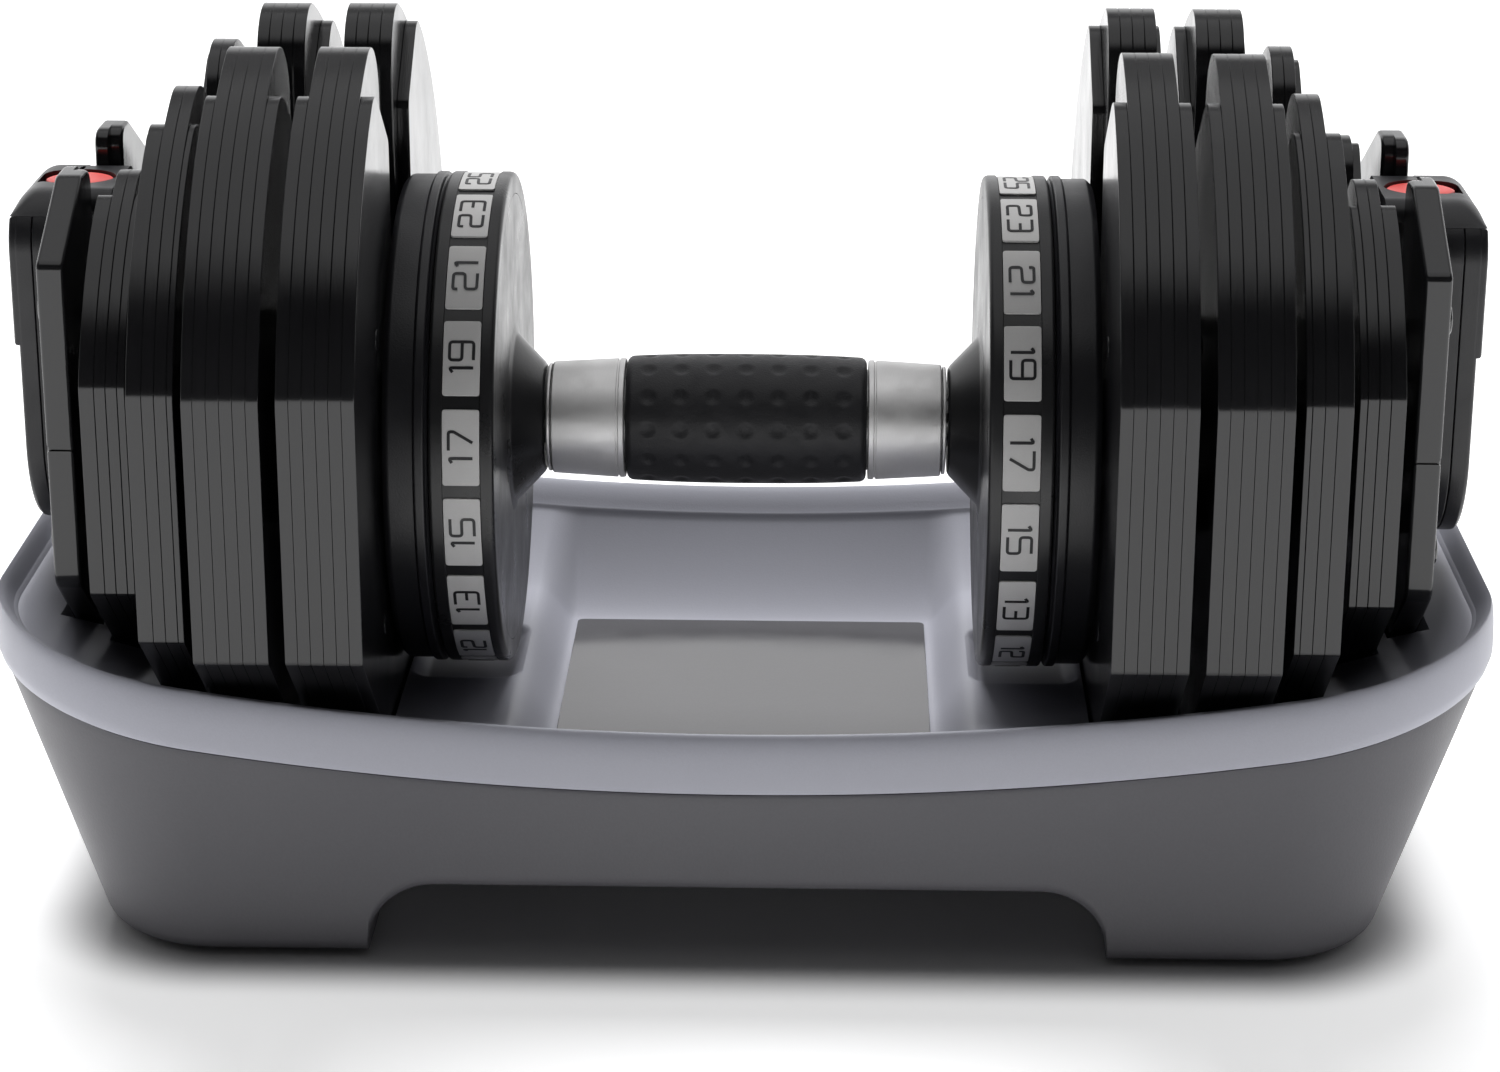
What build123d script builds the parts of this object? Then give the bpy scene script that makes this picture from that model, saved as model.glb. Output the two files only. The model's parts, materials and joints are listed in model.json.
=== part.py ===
from build123d import *
from math import cos, radians, sin
import os

# Dial-selected adjustable dumbbell standing in its storage tray.
# Millimetres. +X runs along the handle, +Y to the back, +Z up; the origin is the centre of the
# tray's footprint on the ground. The handle axis is parallel to X at height AXIS_Z.
# Every piece of an end is drawn for the right (+X) end, and mirrored for the left one.

os.makedirs("parts", exist_ok=True)

# ---------------------------------------------------------------- driving dimensions
AXIS_Z = 118.0            # handle axis above the ground

# handle
AXLE_R = 7.0              # fixed steel axle, from one end housing to the other
CORE_R = 14.0             # steel handle core that the grip and collars are pressed on
CORE_END = 55.0
GRIP_HALF = 33.2
GRIP_R_END, GRIP_R_MID = 17.3, 18.0
COLLAR_IN, COLLAR_OUT = 33.6, 53.8
COLLAR_R_IN, COLLAR_R_OUT = 16.6, 15.5
RUN_GAP = 0.06            # radial clearance of turning fits

# dial, one at each end of the handle
CONE_X, CONE_R = 55.6, 15.0
FACE_X, FACE_R = 63.8, 23.0
DIAL_X0, DIAL_X1 = 64.4, 81.6
DIAL_R = 68.0
DIAL_WALL = 6.0
NUMBER_X0, NUMBER_X1 = 68.2, 78.0
NUMBER_T = 0.5
NUMBER_STEP = 20.0        # degrees from one setting to the next
NUMBER_WIDTH = 17.05      # degrees covered by one number plate
NUMBER_COUNT = 16
COVER_X0, COVER_X1, COVER_R = 81.9, 94.0, 68.0
TUBE_R = 12.0             # selector tube that carries the discs

# selector discs: one stands in each gap between plates
DISC_R, DISC_T = 30.0, 1.6
RIDGE_R_IN = 27.2
TAB_R_IN, TAB_R_OUT, TAB_HALF = 19.0, 26.0, 6.0

# weight plates: inner face X, thickness of each sheet, then the outline of the tall sheets.
# The first and the last sheet are short covers.
#         x0     sheets                         R      flat  chamfer bottom slot lobe
PLATES = {
    "a": (94.8, (3.3, 3.3, 3.3, 3.3, 3.3, 3.3), 114.7, 109.0, 33.0, 92.0, 14.4, 16.4),
    "b": (118.8, (3.2, 3.3, 3.3, 3.3, 3.3, 2.9), 114.6, 109.0, 33.0, 92.0, 14.4, 16.4),
    "c": (141.7, (1.6, 3.2, 3.2, 4.0), 105.1, 99.5, 31.0, 86.0, 14.4, 17.0),
    "d": (158.5, (2.0, 3.0, 3.0, 4.0), 80.9, 75.5, 27.0, 72.0, 14.4, 12.2),
}
CHAMFER_RUN = 1.2         # sideways run of the lower chamfer for each millimetre down
SHORT_SLOT, SHORT_RECESS = 24.0, 33.0
SHOULDER_ANGLE, SHOULDER_DROP = 26.0, 0.73        # short sheet: end and depth of its slopes
SEAM_WIDE, SEAM_DEEP = 0.3, 0.4                   # groove between two sheets
PLATE_E_X0, PLATE_E_T = 175.0, 7.2
PLATE_E_TOP, PLATE_E_LOBE, PLATE_E_SLOT = 75.8, 34.0, 19.0
PLATE_E_FLAT, PLATE_E_SHOULDER, PLATE_E_LOW, PLATE_E_BOTTOM = 64.5, 59.5, 28.0, 58.0
PLATE_E_SEAM, PLATE_E_RECESS_X = 9.5, 178.6
PLATE_E_SCREWS = [(sy * 53, z) for sy in (-1, 1) for z in (45, -18)]
SCREW_HEAD_R, SCREW_HEAD_T = 4.4, 1.9
RIVET_R = 3.0

# end housing, fixed to the axle outside plate E, with a neck through its slot
NECK_X0, NECK_HALF = 179.4, 17.5
HOUSING_X0, HOUSING_X1 = 183.2, 197.6
HOUSING_HALF, HOUSING_TOP, HOUSING_LOW = 27.0, 62.0, 29.0
CAP_X0 = 191.2
HOOD_X0, HOOD_X1, HOOD_TOP, HOOD_WALL_LOW = 171.2, 174.6, 67.5, 35.0
CROWN_R, NECK_R, END_R = 15.0, 5.0, 7.0           # roundings of the top: body, neck, outer end
WALL = 2.4
BUTTON_X, BUTTON_HALF, BUTTON_WIDE, BUTTON_TOP = 182.6, 9.5, 8.0, 67.0
FLANGE = (176.0, 191.0, 9.5, 1.15)                # x0, x1, half width and thickness
FLANGE_ROOM_TOP = 65.9
STEM = (186.8, 190.9, 7.6)                        # x0, x1 and half width
STEM_LOW, WELL_LOW = 46.0, 34.0

# tray
RIM_X, RIM_Y, RIM_R = 197.0, 93.0, 50.0           # inner edge of the rim
CREST_MID, CREST_END = 59.4, 83.0                 # height of the rim at the middle and the ends
SEAM_DROP = 10.5                                  # light shell's skirt below the crest
FLOOR_Z, FLOOR_Y = 38.5, 57.0                     # flat floor of the dish
RAMP_X0, RAMP_X1, SHOULDER_Z, SHOULDER_X = 52.8, 63.5, 48.5, 128.0
DIAL_POCKET = (62.5, 91.5, 22.0, 45.3)            # x0, x1, half width and floor height
SHELL = 3.0
BASE_Z = 1.2
BASE_FOOT = (170.4, 103.0, 33.2)
BASE_TOP = (207.5, 107.5, 63.7)
BASE_TOP_Z = 90.0
ARCH_HALF, ARCH_Z, ARCH_R = 97.0, 20.6, 18.0
SLOT_GAP_X, SLOT_GAP_Y = 0.7, 0.8
FOOT_POINTS = [(sx * 135, sy * 76) for sx in (-1, 1) for sy in (-1, 1)]
SCREW_POINTS = [(sx * 160, sy * 72) for sx in (-1, 1) for sy in (-1, 1)]
NAMEPLATE = 105.0


# ---------------------------------------------------------------- helpers
def across(sketch, x0, x1):
    """Extrude a sketch drawn in (Y, height above the handle axis) from x0 to x1."""
    return extrude(Plane.YZ.offset(x0) * Pos(0, AXIS_Z) * sketch, x1 - x0)


def ring(x0, x1, r_out, r_in=0.0):
    """Round piece about the handle axis."""
    sketch = Circle(r_out)
    if r_in:
        sketch -= Circle(r_in)
    return across(sketch, x0, x1)


def cone(x0, x1, r0, r1):
    """Solid cone frustum about the handle axis."""
    plane = Plane.YZ.offset(x0) * Pos(0, AXIS_Z)
    return plane * Cone(r0, r1, x1 - x0, align=(Align.CENTER, Align.CENTER, Align.MIN))


def box(x0, x1, y0, y1, z0, z1):
    """Box between two corners."""
    return Pos(x0, y0, z0) * Box(x1 - x0, y1 - y0, z1 - z0, align=(Align.MIN,) * 3)


def write(name, *solids):
    """Write one node; several solids become one compound."""
    shape = solids[0] if len(solids) == 1 else Compound(children=list(solids))
    export_step(shape, f"parts/{name}.step")


def write_pair(name, *solids):
    """Write the right-hand node and its mirror image."""
    write(f"right_{name}", *solids)
    write(f"left_{name}", *[mirror(s, about=Plane.YZ) for s in solids])


# ---------------------------------------------------------------- weight plates
def plate_outline(radius, flat, chamfer_z, bottom, slot, lobe, grow=0.0):
    """Round plate with flat front and back, lower chamfers and a slot open at the top."""
    low = flat - (bottom - chamfer_z) * CHAMFER_RUN
    hull = Polygon(
        (-flat - grow, radius + 5), (-flat - grow, -chamfer_z - grow / 2),
        (-low - grow, -bottom - grow), (low + grow, -bottom - grow),
        (flat + grow, -chamfer_z - grow / 2), (flat + grow, radius + 5), align=None)
    body = Circle(radius + grow) & hull
    if grow:
        return body
    body -= Circle(slot) + Pos(0, radius / 2 + 5) * Rectangle(2 * slot, radius + 10)
    corners = [v for v in body.vertices() if v.Y > radius / 2 and abs(abs(v.X) - slot) < 0.5]
    return fillet(corners, lobe)


def short_cut(radius):
    """What a short cover sheet leaves out: recess for the disc, wide slot, sloped shoulders."""
    shoulder = (radius * sin(radians(SHOULDER_ANGLE)), radius * cos(radians(SHOULDER_ANGLE)))
    drop = SHOULDER_DROP * radius
    shoulders = Polygon(
        (-shoulder[0], shoulder[1]), (-SHORT_SLOT, drop), (SHORT_SLOT, drop),
        (shoulder[0], shoulder[1]), (shoulder[0], radius + 9), (-shoulder[0], radius + 9), align=None)
    slot = Pos(0, radius / 2) * Rectangle(2 * SHORT_SLOT, radius)
    return Circle(SHORT_RECESS) + slot + shoulders


def rivet_points(flat):
    """Four rivets, kept clear of the slot and the discs."""
    return [(sy * flat * 0.56, sz * flat * 0.36) for sy in (-1, 1) for sz in (-1, 1)]


def tab(x0, x1):
    """Tab below the axle, that the selector disc's ridge passes under."""
    centre = -(TAB_R_IN + TAB_R_OUT) / 2
    return across(Pos(0, centre) * Rectangle(2 * TAB_HALF, TAB_R_OUT - TAB_R_IN), x0, x1)


def laminated_plate(x0, sheets, radius, flat, chamfer_z, bottom, slot, lobe):
    """Riveted stack: a core of tall sheets, grooved at their seams, between two short covers."""
    outline = plate_outline(radius, flat, chamfer_z, bottom, slot, lobe)
    rivets = Sketch() + [Pos(*p) * Circle(RIVET_R) for p in rivet_points(flat)]
    cover = outline - rivets - short_cut(radius)
    core_x0, core_x1, x1 = x0 + sheets[0], x0 + sum(sheets[:-1]), x0 + sum(sheets)
    core = across(outline, core_x0, core_x1)
    groove = outline - offset(outline, -SEAM_DEEP)
    seam_x = core_x0
    for thickness in sheets[1:-2]:
        seam_x += thickness
        core -= across(groove, seam_x - SEAM_WIDE / 2, seam_x + SEAM_WIDE / 2)
    core += across(rivets, x0, x1)
    return [across(cover, x0, core_x0), core, across(cover, core_x1, x1)]


plate_solids = {name: laminated_plate(*spec) for name, spec in PLATES.items()}
face = {name: spec[0] + spec[1][0] for name, spec in PLATES.items()}      # inner side of the core
outer = {name: spec[0] + sum(spec[1]) for name, spec in PLATES.items()}   # outer side of the plate
recess_a = outer["a"] - PLATES["a"][1][-1]                                # outer side of core A
hooks = {"a": (recess_a, outer["a"] + 0.4)}
for letter in "bcd":
    hooks[letter] = (PLATES[letter][0] - 0.3, face[letter])
for letter, (inner_cover, core, outer_cover) in plate_solids.items():
    write_pair(f"plate_{letter}", inner_cover, core + tab(*hooks[letter]), outer_cover)


def plate_e_outline(grow=0.0):
    """Outermost plate: flat front and back, sloped shoulders, slot for the housing's neck."""
    low = PLATE_E_FLAT - (PLATE_E_BOTTOM - PLATE_E_LOW) * CHAMFER_RUN
    half = [(low + grow, -PLATE_E_BOTTOM - grow), (PLATE_E_FLAT + grow, -PLATE_E_LOW - grow / 2),
            (PLATE_E_FLAT + grow, PLATE_E_SHOULDER), (PLATE_E_LOBE, PLATE_E_TOP)]
    return Polygon(*half, *[(-y, z) for y, z in reversed(half)], align=None)


def plate_e():
    """Thick slab, recessed on the inside, with pan-head screws and a groove round the edge."""
    outline = plate_e_outline()
    seat = Circle(PLATE_E_SLOT) + Pos(0, 50) * Rectangle(2 * PLATE_E_SLOT, 100)
    outline -= seat
    corners = [v for v in outline.vertices() if v.Y > 70 and abs(abs(v.X) - PLATE_E_SLOT) < 0.5]
    outline = fillet(corners, 6.5)
    corners = [v for v in outline.vertices() if abs(v.X) > 30 and v.Y > 50]
    outline = fillet(corners, 7.0)
    end = PLATE_E_X0 + PLATE_E_T
    recess = Circle(SHORT_RECESS) + Pos(0, 50) * Rectangle(2 * SHORT_SLOT - 3, 100)
    holes = Sketch() + [Pos(*p) * Circle(RIVET_R) for p in PLATE_E_SCREWS]
    band = Rectangle(2 * PLATE_E_FLAT + 10, 1.0) - Rectangle(2 * PLATE_E_FLAT - 1.6, 2.0)
    slab = across(outline - holes, PLATE_E_X0, end) - across(recess, PLATE_E_X0, PLATE_E_RECESS_X)
    slab += tab(PLATE_E_X0 - 0.4, PLATE_E_RECESS_X)
    slab -= across(Pos(0, PLATE_E_SEAM) * band, PLATE_E_X0, end)
    screws = [ring_at(p, PLATE_E_X0, end, RIVET_R) + ring_at(p, end, end + SCREW_HEAD_T, SCREW_HEAD_R)
              for p in PLATE_E_SCREWS]
    return [slab, *screws]


def ring_at(point, x0, x1, radius):
    """Short cylinder along X at a (Y, height above the axis) point."""
    return across(Pos(*point) * Circle(radius), x0, x1)


write_pair("plate_e", *plate_e())

# ---------------------------------------------------------------- handle
write("axle", ring(-194.0, 194.0, AXLE_R))
write("handle_core", ring(-CORE_END, CORE_END, CORE_R, AXLE_R))
grip_half = ring(0, GRIP_HALF * 0.6, GRIP_R_MID) + cone(GRIP_HALF * 0.6, GRIP_HALF, GRIP_R_MID, GRIP_R_END)
grip = grip_half + mirror(grip_half, about=Plane.YZ)
write("grip_sleeve", grip - ring(-GRIP_HALF, GRIP_HALF, CORE_R))
collar = cone(COLLAR_IN, COLLAR_OUT, COLLAR_R_IN, COLLAR_R_OUT) - ring(COLLAR_IN, COLLAR_OUT, CORE_R)
write_pair("collar", collar)
write_pair("collar_ring", ring(COLLAR_OUT, CORE_END, 14.9, CORE_R))

# detent carrier, fixed on the axle inside the dial, with a leaf spring in its top
CARRIER_X0, CARRIER_X1, CARRIER_R = 66.6, 78.0, 52.0
carrier = ring(CARRIER_X0 + 0.6, CARRIER_X1, CARRIER_R, AXLE_R)
carrier -= ring(CARRIER_X0 + 3.2, CARRIER_X1, CARRIER_R - 3.0, 16.0)
leaf_gap = across(Pos(0, CARRIER_R - 2) * Rectangle(25, 8), CARRIER_X0, CARRIER_X1)
write_pair("detent_carrier", carrier - leaf_gap)
leaf = across(Pos(0, CARRIER_R - 4.5) * Rectangle(24, 1.0), 71.0, 76.0)
nose = across(Pos(0, CARRIER_R - 1.2) * Rectangle(5, 5.8), 71.0, 76.0)
write_pair("detent_spring", leaf + nose)

# ---------------------------------------------------------------- dial and selector discs
bore = ring(CONE_X - 1, COVER_X1 + 1, AXLE_R + RUN_GAP)
face_plate = cone(CONE_X, FACE_X, CONE_R, FACE_R) + ring(FACE_X, DIAL_X0 + 2.0, DIAL_R - 2.0)
write_pair("dial_face", face_plate - bore)

number_band = ring(NUMBER_X0, NUMBER_X1, DIAL_R + 1, DIAL_R - NUMBER_T)
drum = ring(DIAL_X0, DIAL_X1, DIAL_R, DIAL_R - DIAL_WALL) - number_band
drum -= ring(DIAL_X0, DIAL_X0 + 2.0, DIAL_R - 2.0)
notches = [across(Rot(0, 0, i * NUMBER_STEP) * Pos(0, DIAL_R - DIAL_WALL) * Circle(2.0), 70.0, 77.0)
           for i in range(18)]
for notch in notches:
    drum -= notch
write_pair("dial_drum", drum)


def number_plate(index):
    """Curved number plate; index 0 stands at the top, the rest follow down the front."""
    wedge = Polygon((0, 0), *[(90 * sin(radians(a)), 90 * cos(radians(a)))
                              for a in (-NUMBER_WIDTH / 2, 0, NUMBER_WIDTH / 2)], align=None)
    band = (Circle(DIAL_R) - Circle(DIAL_R - NUMBER_T)) & wedge
    return across(Rot(0, 0, index * NUMBER_STEP) * band, NUMBER_X0, NUMBER_X1)


write_pair("dial_numbers", *[number_plate(i) for i in range(NUMBER_COUNT)])

cover = ring(COVER_X0, COVER_X1, COVER_R, TUBE_R)
cover -= ring(COVER_X0, COVER_X1 - WALL, COVER_R - 2.5, TUBE_R + 4)
write_pair("hub_cover", cover)
write_pair("selector_tube", ring(CARRIER_X1 + 1.0, 178.0, TUBE_R, AXLE_R + RUN_GAP))


def ridge(x0, x1, gaps):
    """Rim of a disc, left out over the arcs (start, end) given in degrees from the bottom."""
    sketch = Circle(DISC_R) - Circle(RIDGE_R_IN)
    for start, end in gaps:
        arc = [(60 * sin(radians(a)), -60 * cos(radians(a))) for a in (start, (start + end) / 2, end)]
        sketch -= Polygon((0, 0), *arc, align=None)
    return across(sketch, x0, x1)


def selector_disc(x0, inner_reach=None, outer_reach=None, inner_gaps=(), outer_gaps=()):
    """Thin disc on the tube with a broken ridge on one side or both."""
    disc = ring(x0, x0 + DISC_T, DISC_R, TUBE_R)
    if inner_reach:
        disc += ridge(inner_reach, x0, inner_gaps)
    if outer_reach:
        disc += ridge(x0 + DISC_T, outer_reach, outer_gaps)
    return disc


write_pair("selector_disc_ab", selector_disc(
    116.0, inner_reach=recess_a + 0.4, outer_reach=face["b"] - 0.4,
    inner_gaps=((60, 90), (150, 200)), outer_gaps=((40, 80), (200, 240))))
write_pair("selector_disc_c", selector_disc(
    139.2, outer_reach=face["c"] - 0.3, outer_gaps=((80, 120), (220, 260))))
write_pair("selector_disc_d", selector_disc(
    155.3, outer_reach=face["d"] - 0.4, outer_gaps=((30, 60), (120, 160), (240, 280))))
write_pair("selector_disc_e", selector_disc(
    171.8, outer_reach=PLATE_E_RECESS_X - 0.4, outer_gaps=((100, 140), (180, 220))))

# ---------------------------------------------------------------- end housing and latch
def housing_outline(half, top, low, corner):
    """Round bottom and rounded top corners, drawn in (Y, height above the axis), cut at top."""
    upper = RectangleRounded(2 * half, 2 * HOOD_TOP, corner)
    upper &= Pos(0, (top + half - low) / 2) * Rectangle(2 * half, top - half + low)
    return upper + Pos(0, half - low) * Circle(half)


def crown(half, corner):
    """Top of the same outline, above the housing."""
    return RectangleRounded(2 * half, 2 * HOOD_TOP, corner) & (
        Pos(0, HOUSING_TOP + 10) * Rectangle(2 * half, 20))


def lens(z0, z1, grow=0.0):
    """Lens-shaped block of the red button, pointed along X."""
    radius = (BUTTON_HALF ** 2 + BUTTON_WIDE ** 2) / (2 * BUTTON_WIDE)
    shift = radius - BUTTON_WIDE
    shape = Pos(0, shift) * Circle(radius + grow) & Pos(0, -shift) * Circle(radius + grow)
    return extrude(Pos(BUTTON_X, 0, AXIS_Z + z0) * shape, z1 - z0)


def end_round():
    """Corner block that rounds the outer top edge of the hood and the cap."""
    low_x, low_z = HOUSING_X1 - END_R, AXIS_Z + HOOD_TOP - END_R
    block = box(low_x, HOUSING_X1 + 1, -40, 40, low_z, AXIS_Z + HOOD_TOP + 1)
    return block - Pos(low_x, 0, low_z) * Rot(90, 0, 0) * Cylinder(END_R, 90)


neck_sketch = housing_outline(NECK_HALF, HOUSING_TOP, NECK_HALF, NECK_R)
shell_sketch = housing_outline(HOUSING_HALF, HOUSING_TOP, HOUSING_LOW, CROWN_R)
housing = across(neck_sketch, NECK_X0, HOUSING_X0) + across(shell_sketch, HOUSING_X0, CAP_X0)
housing -= across(housing_outline(HOUSING_HALF - WALL, HOUSING_TOP - WALL, HOUSING_LOW - WALL, CROWN_R),
                  HOUSING_X0 + WALL, CAP_X0)
housing -= ring(NECK_X0, CAP_X0, AXLE_R)
housing -= box(STEM[0] - 0.3, CAP_X0, -STEM[2] - 0.4, STEM[2] + 0.4,
               AXIS_Z + WELL_LOW, AXIS_Z + HOUSING_TOP)
write_pair("end_housing", housing)

cap = across(shell_sketch, CAP_X0, HOUSING_X1)
cap -= across(Pos(0, -5) * Rectangle(70, 2 * (HOUSING_LOW - 2)), HOUSING_X1 - 1.3, HOUSING_X1)
cap -= ring(CAP_X0, HOUSING_X1 - WALL, 13.0)
write_pair("end_cap", cap - end_round())

hood = across(crown(NECK_HALF, NECK_R), HOOD_X0, HOUSING_X0)
hood += across(crown(HOUSING_HALF, CROWN_R), HOUSING_X0, HOUSING_X1)
hood += box(HOOD_X0, HOOD_X1, -NECK_HALF + 0.5, NECK_HALF - 0.5,
            AXIS_Z + HOOD_WALL_LOW, AXIS_Z + HOUSING_TOP)
hood -= box(FLANGE[0] - 0.4, FLANGE[1] + 0.4, -FLANGE[2] - 0.5, FLANGE[2] + 0.5,
            AXIS_Z + HOUSING_TOP, AXIS_Z + FLANGE_ROOM_TOP)
hood -= lens(HOUSING_TOP, HOOD_TOP + 1, 0.35)
write_pair("hood", hood - end_round())

latch_z = HOUSING_TOP + 0.05
latch = box(FLANGE[0], FLANGE[1], -FLANGE[2], FLANGE[2], AXIS_Z + latch_z, AXIS_Z + latch_z + FLANGE[3])
latch += lens(latch_z, BUTTON_TOP)
latch += box(STEM[0], STEM[1], -STEM[2], STEM[2], AXIS_Z + STEM_LOW, AXIS_Z + latch_z)
write_pair("lock_latch", latch)
SPRING_R_OUT, SPRING_R_IN, SPRING_LOW, SPRING_TALL = 1.9, 1.3, 34.1, 11.8
coil = extrude(Circle(SPRING_R_OUT) - Circle(SPRING_R_IN), SPRING_TALL)
write_pair("latch_spring", Pos((STEM[0] + STEM[1]) / 2, 0, AXIS_Z + SPRING_LOW) * coil)

nut = across(RegularPolygon(11.0, 6) - Circle(AXLE_R), 186.2, 190.8)
write_pair("axle_nut", nut)

# ---------------------------------------------------------------- tray
def rounded(z, half_x, half_y, radius):
    """Rounded rectangle at height z."""
    return Pos(0, 0, z) * RectangleRounded(2 * half_x, 2 * half_y, radius)


def prism(z0, z1, half_x, half_y, radius):
    """Upright block with rounded corners."""
    return extrude(rounded(z0, half_x, half_y, radius), z1 - z0)


def above_saddle(mid, end):
    """Everything above a rim line that rises from the middle to the ends."""
    reach = BASE_TOP[0]
    arc = ThreePointArc((-reach, end), (0, mid), (reach, end))
    rest = Polyline((reach, end), (reach + 20, end), (reach + 20, 200), (-reach - 20, 200),
                    (-reach - 20, end), (-reach, end))
    return extrude(Plane.XZ * make_face([arc, rest]), 150, both=True)


def trough_y(offset=0.0):
    """Dish section across the tray, extruded along X."""
    d = offset
    half = [(FLOOR_Y + d, FLOOR_Z - d), (RIM_Y + d, CREST_MID - 0.5), (RIM_Y + d, 120)]
    points = half + [(-y, z) for y, z in reversed(half)]
    return extrude(Plane.YZ * Polygon(*points, align=None), 240, both=True)


def trough_x(offset=0.0):
    """Dish section along the tray, raised under the dials and plates, extruded along Y."""
    d = offset
    half = [(RAMP_X0 + d, FLOOR_Z - d), (RAMP_X1 + d, SHOULDER_Z - d), (SHOULDER_X + d, SHOULDER_Z - d),
            (RIM_X + d, CREST_END - 4), (RIM_X + d, 120)]
    points = half + [(-x, z) for x, z in reversed(half)]
    return extrude(Plane.XZ * Polygon(*points, align=None), 150, both=True)


outer_body = loft([rounded(BASE_Z, *BASE_FOOT), rounded(BASE_TOP_Z, *BASE_TOP)])
inner_body = loft([rounded(BASE_Z, *[v - SHELL for v in BASE_FOOT]),
                   rounded(BASE_TOP_Z, *[v - SHELL for v in BASE_TOP])])
over_crest = above_saddle(CREST_MID, CREST_END)
over_seam = above_saddle(CREST_MID - SEAM_DROP, CREST_END - SEAM_DROP)

arch = Pos(0, ARCH_Z / 2 - 20) * RectangleRounded(2 * ARCH_HALF, ARCH_Z + 40, ARCH_R)
arch_cut = extrude(Plane.XZ * arch, 150, both=True)
sole = prism(BASE_Z, BASE_Z + 3.3, 300, 200, 10)
base = outer_body - (inner_body - sole) - over_seam - arch_cut
for x, y in FOOT_POINTS:
    base -= Pos(x, y, BASE_Z) * Cylinder(9.1, 1.8, align=(Align.CENTER, Align.CENTER, Align.MIN))
for x, y in SCREW_POINTS:
    base -= Pos(x, y, 0) * Cylinder(2.2, 12)
    base -= Pos(x, y, BASE_Z) * Cylinder(4.2, 2.0, align=(Align.CENTER, Align.CENTER, Align.MIN))
write("tray_base", base)

footprint = prism(0, 130, RIM_X, RIM_Y, RIM_R)
dish = trough_y() & trough_x() & footprint
dish_shell = trough_y(SHELL) & trough_x(SHELL) & prism(0, 130, RIM_X + SHELL, RIM_Y + SHELL, RIM_R + SHELL)
rim = (outer_body & over_seam) - footprint
top = rim + dish_shell
top_inner = prism(0, 130, RIM_X + 1, RIM_Y + 1, RIM_R + 1)
plate_e_spec = (PLATE_E_X0, PLATE_E_X0 + PLATE_E_T, PLATE_E_BOTTOM, 44.0)
pockets = [(spec[0], outer[name], spec[5], min(spec[3] - 12.0, 86.0)) for name, spec in PLATES.items()]
for x0, x1, bottom, half_y in pockets + [plate_e_spec]:
    low, high = x0 - SLOT_GAP_X - WALL, x1 + SLOT_GAP_X + WALL
    for start, end in ((low, high), (-high, -low)):
        top += box(start, end, -half_y, half_y, AXIS_Z - bottom - 3.8, 90) & top_inner
x0, x1, half_y, z = DIAL_POCKET
pocket_wall = box(x0 - WALL, x1, -half_y - WALL, half_y + WALL, z - WALL, SHOULDER_Z)
dial_pocket = box(x0, x1, -half_y, half_y, z, SHOULDER_Z + 1)
top += pocket_wall + mirror(pocket_wall, about=Plane.YZ)
top -= dish + over_crest + dial_pocket + mirror(dial_pocket, about=Plane.YZ)
for name, (x0, sheets, radius, flat, chamfer_z, bottom, slot, lobe) in PLATES.items():
    pocket = across(plate_outline(radius, flat, chamfer_z, bottom, slot, lobe, SLOT_GAP_Y),
                    x0 - SLOT_GAP_X, outer[name] + SLOT_GAP_X)
    top -= pocket + mirror(pocket, about=Plane.YZ)
pocket_e = across(plate_e_outline(SLOT_GAP_Y), PLATE_E_X0 - SLOT_GAP_X,
                  PLATE_E_X0 + PLATE_E_T + SCREW_HEAD_T + SLOT_GAP_X)
top -= pocket_e + mirror(pocket_e, about=Plane.YZ)
for x, y in SCREW_POINTS:
    boss = Pos(x, y, BASE_Z + 3.3) * Cylinder(5.0, 58, align=(Align.CENTER, Align.CENTER, Align.MIN))
    top += boss - dish
    top -= Pos(x, y, BASE_Z + 3.3) * Cylinder(2.0, 16, align=(Align.CENTER, Align.CENTER, Align.MIN))
write("tray_top", top)

write("nameplate", prism(FLOOR_Z, FLOOR_Z + 0.7, NAMEPLATE / 2, NAMEPLATE / 2, 2.0))
foot = Cylinder(9.0, BASE_Z + 1.8, align=(Align.CENTER, Align.CENTER, Align.MIN))
write("rubber_feet", *[Pos(x, y, 0) * foot for x, y in FOOT_POINTS])
screw = Cylinder(3.9, 1.7, align=(Align.CENTER, Align.CENTER, Align.MIN))
screw += Cylinder(2.0, 15.0, align=(Align.CENTER, Align.CENTER, Align.MIN))
write("tray_screws", *[Pos(x, y, BASE_Z + 0.3) * screw for x, y in SCREW_POINTS])
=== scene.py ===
import json
from math import acos, asin, atan2, cos, degrees, hypot, pi, radians, sin, sqrt

import bmesh
import bpy
from mathutils import Matrix, Vector

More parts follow.
